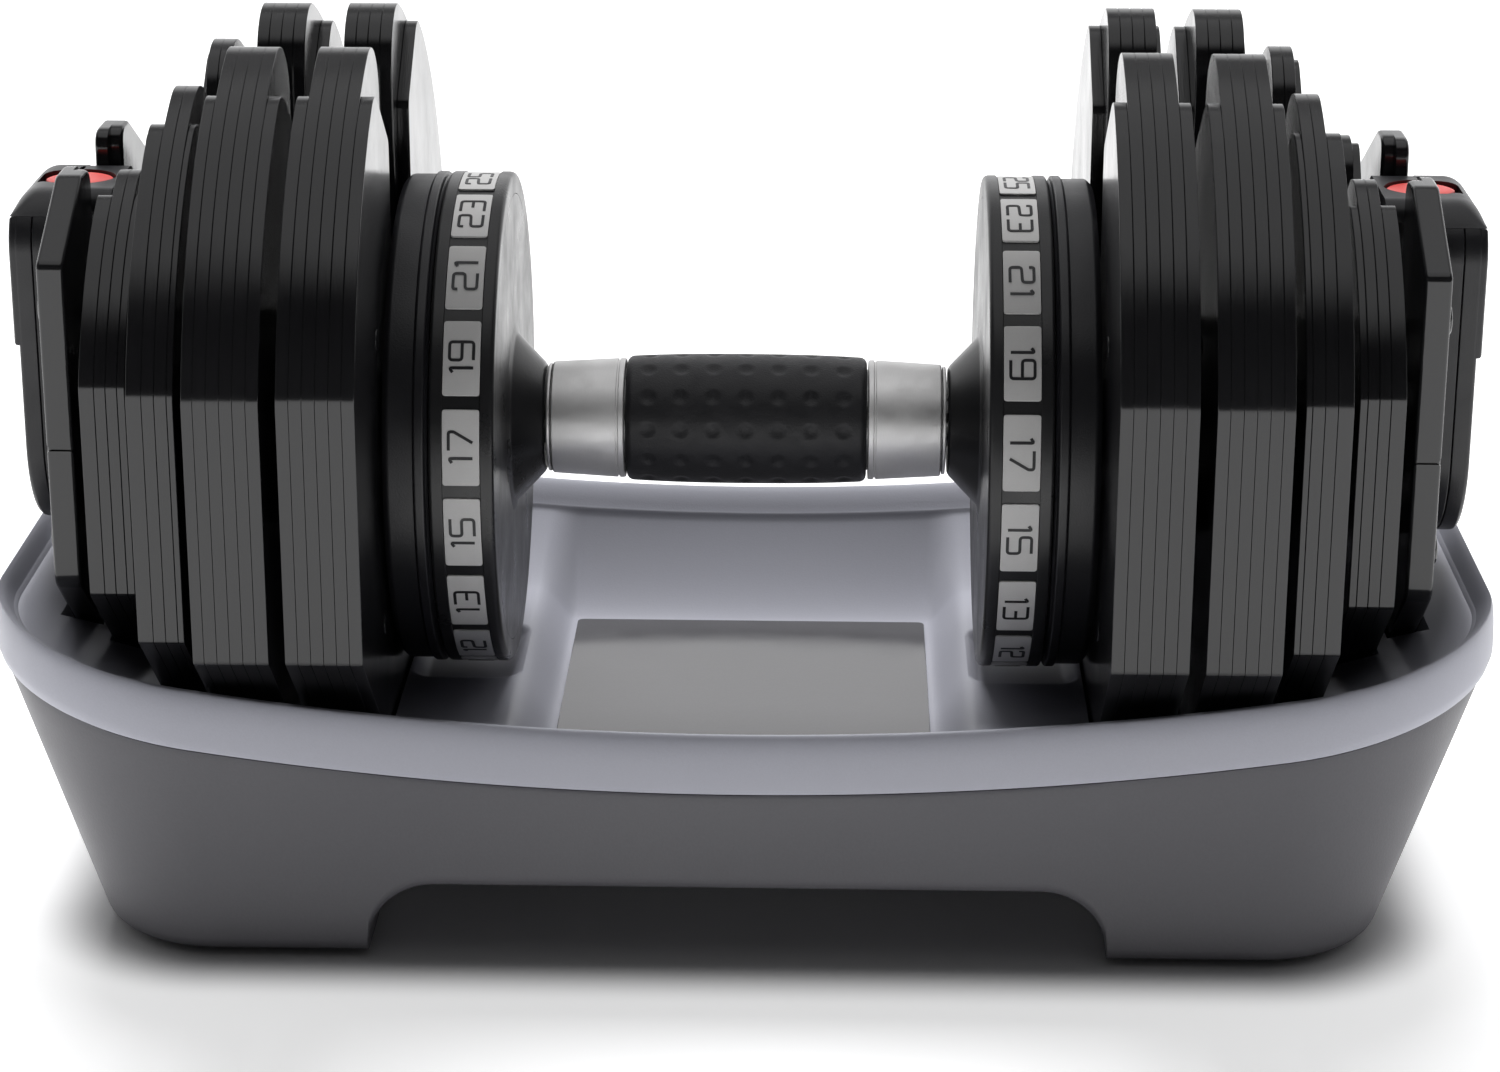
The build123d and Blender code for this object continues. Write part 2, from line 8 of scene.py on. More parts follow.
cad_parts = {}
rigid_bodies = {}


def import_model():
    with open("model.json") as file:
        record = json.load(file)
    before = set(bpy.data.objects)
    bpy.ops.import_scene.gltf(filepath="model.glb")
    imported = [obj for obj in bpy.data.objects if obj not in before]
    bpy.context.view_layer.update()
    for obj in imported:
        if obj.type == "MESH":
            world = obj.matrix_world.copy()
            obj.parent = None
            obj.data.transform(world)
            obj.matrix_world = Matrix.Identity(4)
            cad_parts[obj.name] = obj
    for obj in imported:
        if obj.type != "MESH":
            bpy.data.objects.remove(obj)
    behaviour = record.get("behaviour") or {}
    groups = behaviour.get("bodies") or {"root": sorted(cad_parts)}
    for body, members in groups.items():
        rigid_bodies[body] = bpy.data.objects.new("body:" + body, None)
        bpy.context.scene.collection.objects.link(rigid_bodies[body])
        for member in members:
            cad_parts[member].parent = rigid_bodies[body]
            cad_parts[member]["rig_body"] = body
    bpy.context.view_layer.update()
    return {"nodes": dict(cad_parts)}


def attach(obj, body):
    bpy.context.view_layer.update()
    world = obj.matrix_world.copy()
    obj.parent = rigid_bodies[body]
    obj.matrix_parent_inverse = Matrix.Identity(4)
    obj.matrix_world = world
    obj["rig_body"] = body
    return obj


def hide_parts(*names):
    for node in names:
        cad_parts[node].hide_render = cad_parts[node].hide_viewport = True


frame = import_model()

# Looks of the adjustable dumbbell in its tray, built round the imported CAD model.
# Lengths are in millimetres and are turned into metres when a mesh is made. +X runs along the
# handle, +Y to the back, +Z up. Pieces of an end are drawn for the right (+X) end and mirrored.

MM = 0.001
AXIS_Z = 118.0
SIDES = (("right", 1), ("left", -1))


# ---------------------------------------------------------------- materials
def nodes_of(material):
    """Node tree and its Principled shader."""
    material.use_nodes = True
    tree = material.node_tree
    return tree, tree.nodes["Principled BSDF"]


def add_node(tree, kind, inputs=None, **settings):
    """New node with its settings; inputs maps a socket to a value or to another socket."""
    node = tree.nodes.new(kind)
    for key, value in settings.items():
        setattr(node, key, value)
    for key, value in (inputs or {}).items():
        if isinstance(value, bpy.types.NodeSocket):
            tree.links.new(value, node.inputs[key])
        else:
            node.inputs[key].default_value = value
    return node


def surface(name, color, rough, metallic=0.0, vary=0.12, patch=0.02, grain=0.0004, bump=0.15,
            wear=0.0, wear_color=(0.4, 0.4, 0.42), stretch=(1, 1, 1), coat=0.0, specular=0.5,
            rough_vary=0.08):
    """Moulded, painted or metal surface: patchy colour and gloss, fine grain, lighter worn edges.

    patch and grain are feature sizes in metres; stretch scales the grain along the three axes."""
    material = bpy.data.materials.new(name)
    tree, shader = nodes_of(material)
    coords = add_node(tree, "ShaderNodeTexCoord").outputs["Object"]
    mapped = add_node(tree, "ShaderNodeMapping", {"Vector": coords, "Scale": stretch}).outputs[0]
    patches = add_node(tree, "ShaderNodeTexNoise",
                       {"Vector": coords, "Scale": 1 / patch, "Detail": 4.0, "Roughness": 0.6})
    fine = add_node(tree, "ShaderNodeTexNoise",
                    {"Vector": mapped, "Scale": 1 / grain, "Detail": 3.0, "Roughness": 0.55})
    dark = tuple(c * (1 - vary) for c in color) + (1,)
    light = tuple(min(1.0, c * (1 + vary)) for c in color) + (1,)
    tint = add_node(tree, "ShaderNodeMixRGB", {"Fac": patches.outputs["Fac"], "Color1": dark,
                                               "Color2": light})
    speck = add_node(tree, "ShaderNodeMapRange", {"Value": fine.outputs["Fac"], "From Min": 0.3,
                                                  "From Max": 0.7, "To Min": 1 - vary / 2,
                                                  "To Max": 1 + vary / 2})
    color_out = add_node(tree, "ShaderNodeMixRGB", {"Fac": 1.0, "Color1": tint.outputs[0],
                                                    "Color2": speck.outputs[0]},
                         blend_type="MULTIPLY").outputs[0]
    if wear:
        edge = add_node(tree, "ShaderNodeNewGeometry").outputs["Pointiness"]
        ramp = add_node(tree, "ShaderNodeMapRange", {"Value": edge, "From Min": 0.53,
                                                     "From Max": 0.62, "To Min": 0.0, "To Max": wear})
        broken = add_node(tree, "ShaderNodeMath", {0: ramp.outputs[0], 1: patches.outputs["Fac"]},
                          operation="MULTIPLY")
        color_out = add_node(tree, "ShaderNodeMixRGB", {"Fac": broken.outputs[0], "Color1": color_out,
                                                        "Color2": wear_color + (1,)}).outputs[0]
    tree.links.new(color_out, shader.inputs["Base Color"])
    gloss = add_node(tree, "ShaderNodeMapRange",
                     {"Value": patches.outputs["Fac"], "From Min": 0.3, "From Max": 0.7,
                      "To Min": max(0.02, rough - rough_vary), "To Max": min(1.0, rough + rough_vary)})
    tree.links.new(gloss.outputs[0], shader.inputs["Roughness"])
    relief = add_node(tree, "ShaderNodeBump", {"Height": fine.outputs["Fac"], "Strength": bump,
                                               "Distance": grain * 0.5})
    tree.links.new(relief.outputs[0], shader.inputs["Normal"])
    shader.inputs["Metallic"].default_value = metallic
    shader.inputs["Specular IOR Level"].default_value = specular
    shader.inputs["Coat Weight"].default_value = coat
    shader.inputs["Coat Roughness"].default_value = 0.15
    return material


MAT = {
    "plate_steel": surface("plate_steel", (0.0085, 0.0085, 0.0095), 0.18, vary=0.3, patch=0.03,
                           grain=0.0007, bump=0.1, wear=0.2, wear_color=(0.12, 0.12, 0.13),
                           stretch=(1.6, 0.12, 0.06), specular=0.62, rough_vary=0.05),
    "black_plastic": surface("black_plastic", (0.012, 0.012, 0.014), 0.36, vary=0.2, grain=0.0005,
                             bump=0.2, wear=0.15, wear_color=(0.08, 0.08, 0.09)),
    "dial_plastic": surface("dial_plastic", (0.011, 0.011, 0.012), 0.33, vary=0.2, grain=0.0005,
                            bump=0.18, wear=0.15, wear_color=(0.09, 0.09, 0.1)),
    "disc_plastic": surface("disc_plastic", (0.02, 0.02, 0.022), 0.42, vary=0.2, grain=0.0005),
    "number_plate": surface("number_plate", (0.6, 0.595, 0.59), 0.42, vary=0.05, patch=0.006,
                            grain=0.0003, bump=0.06),
    "number_ink": surface("number_ink", (0.012, 0.012, 0.014), 0.4, vary=0.2, patch=0.003,
                          grain=0.0002, bump=0.1),
    "collar_metal": surface("collar_metal", (0.82, 0.815, 0.81), 0.52, metallic=1.0, vary=0.04,
                            patch=0.008, grain=0.0007, bump=0.08, stretch=(6, 0.35, 0.35)),
    "bare_steel": surface("bare_steel", (0.5, 0.5, 0.5), 0.3, metallic=1.0, vary=0.15, patch=0.004,
                          grain=0.0004, bump=0.12),
    "red_plastic": surface("red_plastic", (0.85, 0.1, 0.09), 0.38, vary=0.08, grain=0.0004, bump=0.12),
    "grip_rubber": surface("grip_rubber", (0.014, 0.014, 0.016), 0.48, vary=0.25, patch=0.006,
                           grain=0.00045, bump=0.5, specular=0.45),
    "tray_light": surface("tray_light", (0.47, 0.475, 0.54), 0.42, vary=0.035, patch=0.05,
                          grain=0.0006, bump=0.12, wear=0.12, wear_color=(0.75, 0.76, 0.82)),
    "tray_dark": surface("tray_dark", (0.112, 0.11, 0.122), 0.45, vary=0.06, patch=0.06,
                         grain=0.0007, bump=0.18, wear=0.15, wear_color=(0.2, 0.2, 0.22)),
    "nameplate_film": surface("nameplate_film", (0.1, 0.098, 0.104), 0.1, vary=0.06, patch=0.012,
                              grain=0.0006, bump=0.02, specular=0.85, rough_vary=0.03),
    "feet_rubber": surface("feet_rubber", (0.02, 0.02, 0.02), 0.7, vary=0.3, grain=0.0006, bump=0.4),
}


# ---------------------------------------------------------------- outlines in a plane
def arc(cy, cz, r, start, end, steps):
    """Points on a circle; angles in degrees, counted from the first axis to the second."""
    return [(cy + r * cos(radians(start + (end - start) * i / steps)),
             cz + r * sin(radians(start + (end - start) * i / steps))) for i in range(steps + 1)]


def rounded(points, radius, steps=5):
    """Closed outline with its corners rounded; radius is one number or one for each corner."""
    radii = radius if isinstance(radius, (list, tuple)) else [radius] * len(points)
    result = []
    for i, corner in enumerate(points):
        p, c, n = Vector(points[i - 1]), Vector(corner), Vector(points[(i + 1) % len(points)])
        a, b = p - c, n - c
        r = radii[i]
        if r <= 0 or a.length < 1e-9 or b.length < 1e-9:
            result.append(tuple(c))
            continue
        half = acos(max(-1, min(1, a.normalized().dot(b.normalized())))) / 2
        if half > radians(88):
            result.append(tuple(c))
            continue
        reach = min(r / max(1e-6, abs(sin(half) / cos(half))), a.length * 0.49, b.length * 0.49)
        start, end = c + a.normalized() * reach, c + b.normalized() * reach
        for k in range(steps + 1):
            t = k / steps
            result.append(tuple((1 - t) ** 2 * start + 2 * t * (1 - t) * c + t * t * end))
    return result


def area(points):
    """Signed area of a closed outline."""
    return sum(a[0] * b[1] - b[0] * a[1] for a, b in zip(points, points[1:] + points[:1])) / 2


def inset(points, distance):
    """Closed outline moved inwards by a small distance."""
    if not distance:
        return list(points)
    sign = 1 if area(points) > 0 else -1
    result = []
    for i, (y, z) in enumerate(points):
        py, pz = points[i - 1]
        ny, nz = points[(i + 1) % len(points)]
        e1, e2 = Vector((y - py, z - pz)).normalized(), Vector((ny - y, nz - z)).normalized()
        n1, n2 = Vector((-e1.y, e1.x)), Vector((-e2.y, e2.x))
        m = n1 + n2
        m = m / max(0.35, m.length_squared / 2) if m.length > 1e-6 else n1
        result.append((y + sign * m.x * distance, z + sign * m.y * distance))
    return result


# ---------------------------------------------------------------- closed meshes
def from_rings(rings, closed=False):
    """Tube of quads through rings with equal point counts; open ends are capped."""
    count = len(rings[0])
    verts = [p for ring in rings for p in ring]
    faces = []
    last = len(rings) if closed else len(rings) - 1
    for i in range(last):
        a, b = i * count, (i + 1) % len(rings) * count
        for j in range(count):
            k = (j + 1) % count
            faces.append((a + j, a + k, b + k, b + j))
    if not closed:
        faces.append(tuple(range(count))[::-1])
        faces.append(tuple(range((len(rings) - 1) * count, len(rings) * count)))
    return verts, faces


def prism(outline, x0, x1, edge=0.3, steps=3, edge_out=None):
    """Slab across X with a (Y, height above the axis) outline and rounded edges."""
    edge_out = edge if edge_out is None else edge_out
    first, last = steps if edge else 0, steps if edge_out else 0
    stations = [(x0 + edge * (1 - cos(pi / 2 * k / steps)), edge * (1 - sin(pi / 2 * k / steps)))
                for k in range(first + 1)]
    stations += [(x1 - edge_out * (1 - cos(pi / 2 * k / steps)),
                  edge_out * (1 - sin(pi / 2 * k / steps))) for k in range(last, -1, -1)]
    rings = [[(x, y, AXIS_Z + z) for y, z in inset(outline, d)] for x, d in stations]
    return from_rings(rings)


def lathe(profile, segments=160):
    """Ring about the handle axis from a closed (X, radius) profile."""
    rings = [[(x, r * sin(2 * pi * i / segments), AXIS_Z + r * cos(2 * pi * i / segments))
              for x, r in profile] for i in range(segments)]
    return from_rings(rings, closed=True)


def upright(cx, cy, profile, segments=48):
    """Ring about a vertical line from a closed (radius, Z) profile."""
    rings = [[(cx + r * cos(2 * pi * i / segments), cy + r * sin(2 * pi * i / segments), z)
              for r, z in profile] for i in range(segments)]
    return from_rings(rings, closed=True)


def join(parts):
    """Several meshes as one."""
    verts, faces = [], []
    for v, f in parts:
        base = len(verts)
        verts += v
        faces += [tuple(base + i for i in face) for face in f]
    return verts, faces


def piece(name, mesh, body, slot, side=1, material=None, nodes=(), smooth=35, merge=False):
    """Make the object, ride it on its body and hide the CAD nodes it stands for."""
    verts, faces = mesh
    data = bpy.data.meshes.new(name)
    data.from_pydata([(side * x * MM, y * MM, z * MM) for x, y, z in verts], [], faces)
    work = bmesh.new()
    work.from_mesh(data)
    if merge:
        bmesh.ops.remove_doubles(work, verts=work.verts, dist=1e-6)
    bmesh.ops.recalc_face_normals(work, faces=work.faces)
    work.to_mesh(data)
    work.free()
    data.shade_smooth()
    data.set_sharp_from_angle(angle=radians(smooth))
    obj = bpy.data.objects.new(name, data)
    bpy.context.scene.collection.objects.link(obj)
    data.materials.append(MAT[material or slot])
    weighted = obj.modifiers.new("even_normals", "WEIGHTED_NORMAL")
    weighted.keep_sharp = True
    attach(obj, body)
    if nodes:
        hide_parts(*nodes)
    return obj


def body_of_node(node):
    """Body that a CAD node rides on."""
    return frame["nodes"][node]["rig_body"]


def pair(name, mesh, node, slot, **options):
    """A right-hand piece and its mirror image, on the bodies of the CAD nodes they stand for."""
    for side, sign in SIDES:
        piece(f"{side}_{name}", mesh, body_of_node(f"{side}_{node}"), slot, side=sign,
              nodes=[f"{side}_{node}"], **options)


# ---------------------------------------------------------------- weight plates
# inner face X, thickness of each sheet, then the outline of the tall sheets; the first and the
# last sheet are short covers
#         x0     sheets                         R      flat  chamfer bottom slot lobe
PLATES = {
    "a": (94.8, (3.3, 3.3, 3.3, 3.3, 3.3, 3.3), 114.7, 109.0, 33.0, 92.0, 14.4, 16.4),
    "b": (118.8, (3.2, 3.3, 3.3, 3.3, 3.3, 2.9), 114.6, 109.0, 33.0, 92.0, 14.4, 16.4),
    "c": (141.7, (1.6, 3.2, 3.2, 4.0), 105.1, 99.5, 31.0, 86.0, 14.4, 17.0),
    "d": (158.5, (2.0, 3.0, 3.0, 4.0), 80.9, 75.5, 27.0, 72.0, 14.4, 12.2),
}
CHAMFER_RUN = 1.2                         # sideways run of the lower chamfer for each mm down
BOTTOM_R, CHAMFER_R = 3.0, 1.5
SHORT_SLOT, SHORT_RECESS = 24.0, 33.0
SLOPE_START, SLOPE_END, SLOPE_DROP = 58, 26, 0.73       # shoulders of the short sheets
SHOULDER_R, SLOT_R = 14.0, 5.0
ROLL_IN, ROLL_OUT, SHEET_GAP = 0.32, 0.15, 0.01         # punched edges of a sheet
RIVET_Y, RIVET_Z, RIVET_PROUD = 0.56, 0.36, 0.25


def mirrored(half):
    """Closed outline from its +Y half, listed from the bottom centre round to the top centre."""
    return half + [(-y, z) for y, z in reversed(half)]


def lower_half(radius, flat, chamfer, bottom):
    """Bottom, lower chamfer and flat side of a plate."""
    low = flat - (bottom - chamfer) * CHAMFER_RUN
    shape = rounded([(0, -bottom), (low, -bottom), (flat, -chamfer), (flat, chamfer)],
                    [0, BOTTOM_R, CHAMFER_R, 0])
    return shape[1:-1] + [(flat, sqrt(radius ** 2 - flat ** 2))]


def tall_outline(radius, flat, chamfer, bottom, slot, lobe):
    """Tall sheet: rounded lobes stand each side of a slot that is open at the top."""
    cy = slot + lobe
    cz = sqrt((radius - lobe) ** 2 - cy ** 2)
    start = degrees(atan2(sqrt(radius ** 2 - flat ** 2), flat))
    turn = degrees(atan2(cz, cy))
    half = lower_half(radius, flat, chamfer, bottom)
    half += arc(0, 0, radius, start, turn, 30)[1:]
    half += arc(cy, cz, lobe, turn, 180, 18)[1:]
    half += [(slot, cz * (1 - t / 4)) for t in range(1, 4)]
    half += arc(0, 0, slot, 0, -84, 14)
    return mirrored(half)


def short_outline(radius, flat, chamfer, bottom, slot, lobe):
    """Short sheet: sloped shoulders, a wide slot and a round recess for the selector disc."""
    start = degrees(atan2(sqrt(radius ** 2 - flat ** 2), flat))
    edge = (radius * sin(radians(SLOPE_END)), radius * cos(radians(SLOPE_END)))
    inner = (SHORT_SLOT, SLOPE_DROP * radius)
    before = arc(0, 0, radius, start, SLOPE_START, 24)[1:-1]
    meet = sqrt(SHORT_RECESS ** 2 - SHORT_SLOT ** 2)
    corner = rounded([before[-1], edge, inner, (SHORT_SLOT, meet)], [0, SHOULDER_R, SLOT_R, 0], 8)[1:]
    angle = degrees(atan2(meet, SHORT_SLOT))
    half = lower_half(radius, flat, chamfer, bottom) + before + corner
    half += arc(0, 0, SHORT_RECESS, angle, -86, 26)[1:]
    return mirrored(half)


def rivet(y, z, x0, x1, radius=3.0):
    """Rivet with heads a little proud of the sheets."""
    return prism(arc(y, z, radius, 0, 345, 23), x0 - RIVET_PROUD, x1 + RIVET_PROUD, edge=0.6)


for letter, (x0, sheets, *shape) in PLATES.items():
    x, slabs, flat = x0, [], shape[1]
    for index, thickness in enumerate(sheets):
        covering = index in (0, len(sheets) - 1)
        outline = short_outline(*shape) if covering else tall_outline(*shape)
        slabs.append(prism(outline, x + SHEET_GAP, x + thickness - SHEET_GAP, ROLL_IN, edge_out=ROLL_OUT))
        x += thickness
    slabs += [rivet(sy * flat * RIVET_Y, sz * flat * RIVET_Z, x0, x)
              for sy in (-1, 1) for sz in (-1, 1)]
    pair(f"plate_{letter}", join(slabs), f"plate_{letter}", "plate_steel")


# plate e, the outermost, is one slab with sloped shoulders and a slot for the housing's neck
E_X0, E_MID, E_X1, E_SLOT, E_ROUND = 175.0, 178.6, 182.2, 19.0, 1.1
E_FLAT, E_SHOULDER, E_LOBE, E_TOP, E_LOW, E_BOTTOM, E_SEAM = 64.5, 59.5, 34.0, 75.8, 28.0, 58.0, 9.5
SCREW_Y, SCREW_ZS, SCREW_R, SCREW_PROUD = 53, (45, -18), 4.4, 1.9


def e_outline(slot, seat):
    """Outline with a slot of the given half width over a round seat, and a notch at the seam."""
    low = E_FLAT - (E_BOTTOM - E_LOW) * CHAMFER_RUN
    corners = [(0, -E_BOTTOM), (low, -E_BOTTOM), (E_FLAT, -E_LOW), (E_FLAT, E_SEAM - 1),
               (E_FLAT, E_SEAM - 0.45), (E_FLAT - 0.8, E_SEAM - 0.35), (E_FLAT - 0.8, E_SEAM + 0.35),
               (E_FLAT, E_SEAM + 0.45), (E_FLAT, E_SEAM + 1), (E_FLAT, E_SHOULDER), (E_LOBE, E_TOP),
               (slot, E_TOP), (slot, sqrt(max(0.0, seat ** 2 - slot ** 2)))]
    radii = [0, 9.0, 6.0, 0, 0, 0, 0, 0, 0, 3.0, 6.5, 5.5, 0]
    half = rounded(corners, radii)[1:]
    half += arc(0, 0, seat, degrees(acos(min(1.0, slot / seat))), -86, 24)[1:]
    return mirrored(half)


pair("plate_e", join([
    prism(e_outline(SHORT_SLOT - 1.5, SHORT_RECESS), E_X0, E_MID, edge=E_ROUND, edge_out=0),
    prism(e_outline(E_SLOT, E_SLOT), E_MID, E_X1, edge=0, edge_out=E_ROUND)]
    + [prism(arc(sy * SCREW_Y, z, SCREW_R, 0, 345, 23), E_X1 - 0.5, E_X1 + SCREW_PROUD, edge=0.1,
             edge_out=1.3) for sy in (-1, 1) for z in SCREW_ZS]),
    "plate_e", "plate_steel")


# ---------------------------------------------------------------- handle
GRIP_HALF, GRIP_END, GRIP_MID, CORE_R = 33.2, 17.3, 18.0, 14.0
DIMPLE_PITCH, DIMPLE_R, DIMPLE_DEEP, DIMPLE_FIRST = 8.95, 2.5, 0.6, 24.3


def grip_mesh():
    """Barrel-shaped sleeve with rounded ends and rows of round dimples."""
    stations = [(-GRIP_HALF + 0.1, CORE_R + 0.3), (-GRIP_HALF, GRIP_END - 1.9)]
    stations += [(-GRIP_HALF + 1.9 * (1 - cos(radians(a))), GRIP_END - 1.9 * (1 - sin(radians(a))))
                 for a in (25, 50, 75)]
    count = 110
    for i in range(count + 1):
        t = -1 + 2 * i / count
        stations.append((t * (GRIP_HALF - 2.0), GRIP_END + (GRIP_MID - GRIP_END) * (1 - abs(t) ** 2.5)))
    stations += [(-x, r) for x, r in reversed(stations[:5])]
    segments, rings = 288, []
    for k in range(segments):
        phi = 360 * k / segments
        ring = []
        for x, r in stations:
            row = round((phi - DIMPLE_FIRST) / 30)
            column = max(-3, min(3, round(x / DIMPLE_PITCH)))
            dy = radians(phi - DIMPLE_FIRST - 30 * row) * r
            d = hypot(x - column * DIMPLE_PITCH, dy) / DIMPLE_R
            r -= DIMPLE_DEEP * (1 - d * d) ** 1.5 if d < 1 else 0
            ring.append((x, -r * sin(radians(phi)), AXIS_Z + r * cos(radians(phi))))
        rings.append(ring)
    return from_rings(rings, closed=True)


piece("grip_sleeve", grip_mesh(), "dumbbell", "grip_rubber", nodes=["grip_sleeve"], smooth=60)

pair("collar", lathe(rounded([
    (33.6, 14.1), (33.6, 16.6), (35.2, 16.6), (35.25, 16.1), (35.75, 16.1), (35.8, 16.55),
    (53.5, 15.5), (53.8, 15.2), (53.8, 14.1)], [0.1, 0.5, 0.25, 0.1, 0.1, 0.25, 0.5, 0.1, 0.1], 4)),
    "collar", "collar_metal")
pair("collar_ring", lathe(rounded([(54.1, 14.1), (54.1, 15.0), (55.0, 15.0), (55.0, 14.1)],
                                  [0.1, 0.35, 0.35, 0.1], 4)), "collar_ring", "collar_metal")

# ---------------------------------------------------------------- dial
DIAL_R, BAND_X0, BAND_X1 = 68.0, 68.2, 78.0
STEP_ANGLE, LABEL_ANGLE = 20.0, 17.05

pair("dial_face", lathe(rounded([
    (55.6, 7.3), (55.6, 14.4), (56.2, 15.4), (63.9, 23.4), (64.5, 26.0), (64.6, 61.9),
    (66.4, 61.9), (66.4, 7.3)], [0.2, 0.4, 0.4, 1.6, 1.2, 0.1, 0, 0], 5)),
    "dial_face", "dial_plastic")
pair("dial_drum", lathe(rounded([
    (64.6, 62.0), (64.5, 68.0), (68.1, 68.0), (68.1, 67.45), (78.1, 67.45), (78.1, 68.0),
    (81.6, 68.0), (81.6, 62.0)],
    [0.05, 2.6, 0.2, 0.1, 0.1, 0.25, 0.9, 0.3], 6), 240), "dial_drum", "dial_plastic")
pair("hub_cover", lathe(rounded([
    (81.9, 40.0), (81.9, 66.4), (82.6, 66.9), (83.1, 68.0), (85.4, 68.0), (85.8, 67.2), (92.6, 67.2),
    (94.0, 65.8), (94.0, 12.3), (91.6, 12.3), (91.6, 40.0)],
    [0, 0.3, 0.3, 0.6, 0.6, 0.3, 1.4, 0.8, 0.2, 0, 0], 5), 240), "hub_cover", "black_plastic")


def on_dial(x, phi, r):
    """Point on the dial; phi is in degrees from the top down the front."""
    return (x, -r * sin(radians(phi)), AXIS_Z + r * cos(radians(phi)))


def curved_plate(phi, x0, x1, wide, corner, r0, r1, edge):
    """Number plate bent round the drum, with rounded corners and edges."""
    half = radians(wide) * r1 / 2
    flat = rounded([(x0, -half), (x1, -half), (x1, half), (x0, half)], corner, 5)
    dense = []
    for p, q in zip(flat, flat[1:] + flat[:1]):
        parts = max(1, int(hypot(q[0] - p[0], q[1] - p[1]) / 1.2))
        dense += [(p[0] + (q[0] - p[0]) * k / parts, p[1] + (q[1] - p[1]) * k / parts)
                  for k in range(parts)]
    levels = [(0, r0), (0, r1 - edge), (edge * 0.3, r1 - edge * 0.3), (edge, r1)]
    rings = [[on_dial(x, phi + degrees(s / r1), r) for x, s in inset(dense, d)] for d, r in levels]
    verts, faces = from_rings(rings)
    faces = faces[:-2]                    # the curved top and bottom are laid in strips instead
    for offset, flip in ((0, True), (3 * len(dense), False)):
        faces += strip_cap(dense, offset, flip)
    return verts, faces


def strip_cap(outline, offset, flip):
    """Fill an outline on the number band with strips that run across the band."""
    order = sorted(range(len(outline)), key=lambda i: outline[i][1])
    middle = (BAND_X0 + BAND_X1) / 2
    left = [i for i in order if outline[i][0] < middle]
    right = [i for i in order if outline[i][0] >= middle]
    faces, i, j = [], 0, 0
    while i < len(left) - 1 or j < len(right) - 1:
        if j == len(right) - 1 or (i < len(left) - 1
                                   and outline[left[i + 1]][1] <= outline[right[j + 1]][1]):
            face = (left[i], right[j], left[i + 1])
            i += 1
        else:
            face = (left[i], right[j], right[j + 1])
            j += 1
        faces.append(tuple(offset + k for k in (face[::-1] if flip else face)))
    return faces


LABELS = ["25", "23", "21", "19", "17", "15", "13", "12", "10", "9", "8", "6.5", "5.5", "4.5",
          "3.5", "2.5"]
STROKES = {
    "0": [[(0, 0.5), (0, 1), (1, 1), (1, 0), (0, 0), (0, 0.52)]],
    "1": [[(0.1, 0.86), (0.5, 1), (0.5, 0)]],
    "2": [[(0, 0.8), (0, 1), (1, 1), (1, 0.52), (0, 0.48), (0, 0), (1, 0)]],
    "3": [[(0, 1), (1, 1), (1, 0), (0, 0)], [(0.35, 0.5), (1, 0.5)]],
    "4": [[(0, 1), (0, 0.32), (1.05, 0.32)], [(0.75, 0.62), (0.75, 0)]],
    "5": [[(1, 1), (0, 1), (0, 0.52), (1, 0.52), (1, 0), (0, 0)]],
    "6": [[(1, 1), (0, 1), (0, 0), (1, 0), (1, 0.52), (0, 0.52)]],
    "7": [[(0, 1), (1, 1), (1, 0.78), (0.42, 0)]],
    "8": [[(0, 0.5), (0, 1), (1, 1), (1, 0), (0, 0), (0, 0.52)], [(0, 0.51), (1, 0.51)]],
    "9": [[(1, 0.48), (0, 0.48), (0, 1), (1, 1), (1, 0), (0, 0)]],
    ".": [[(0, 0.0), (0, 0.09)]],
}
DIGIT_H, DIGIT_W, STROKE_W, GLYPH_GAP, LABEL_MAX = 6.3, 4.9, 0.8, 1.3, 16.0
GLYPH_WIDTH = {".": 0.0, "1": 1.5}


def open_rounded(points, radius, steps=4):
    """Open line with its inner corners rounded."""
    return rounded(points, [0] + [radius] * (len(points) - 2) + [0], steps)


def ribbon(points, width, place):
    """Flat closed strip along a line; place maps (along, up, level) to a point."""
    sides = []
    for i, p in enumerate(points):
        a = Vector(points[max(0, i - 1)])
        b = Vector(points[min(len(points) - 1, i + 1)])
        d = (b - a).normalized()
        n = Vector((-d.y, d.x)) * width / 2
        sides.append((Vector(p) + n, Vector(p) - n))
    rings = [[place(l.x, l.y, 1), place(r.x, r.y, 1), place(r.x, r.y, 0), place(l.x, l.y, 0)]
             for l, r in sides]
    return from_rings(rings)


def label_mesh(text, phi, side):
    """Digits of one number; they stand with their tops away from the middle of the handle."""
    widths = [GLYPH_WIDTH.get(c, DIGIT_W) + STROKE_W for c in text]
    total = sum(widths) + GLYPH_GAP * (len(text) - 1)
    start, parts = -total / 2, []
    centre = (BAND_X0 + BAND_X1) / 2
    scale = min(1.0, LABEL_MAX / total)

    def place(u, v, level):
        u, v = u * scale, v - DIGIT_H / 2
        r = DIAL_R + (0.09 if level else -0.1)
        return on_dial(centre + v, phi + side * degrees(u / DIAL_R), r)

    for glyph, wide in zip(text, widths):
        left = start + STROKE_W / 2
        across = (wide - STROKE_W) / (0.5 if glyph == "1" else 1.0)
        for stroke in STROKES[glyph]:
            line = [(left + across * u, v * DIGIT_H) for u, v in stroke]
            parts.append(ribbon(open_rounded(line, 0.9), STROKE_W, place))
        start += wide + GLYPH_GAP
    return join(parts)


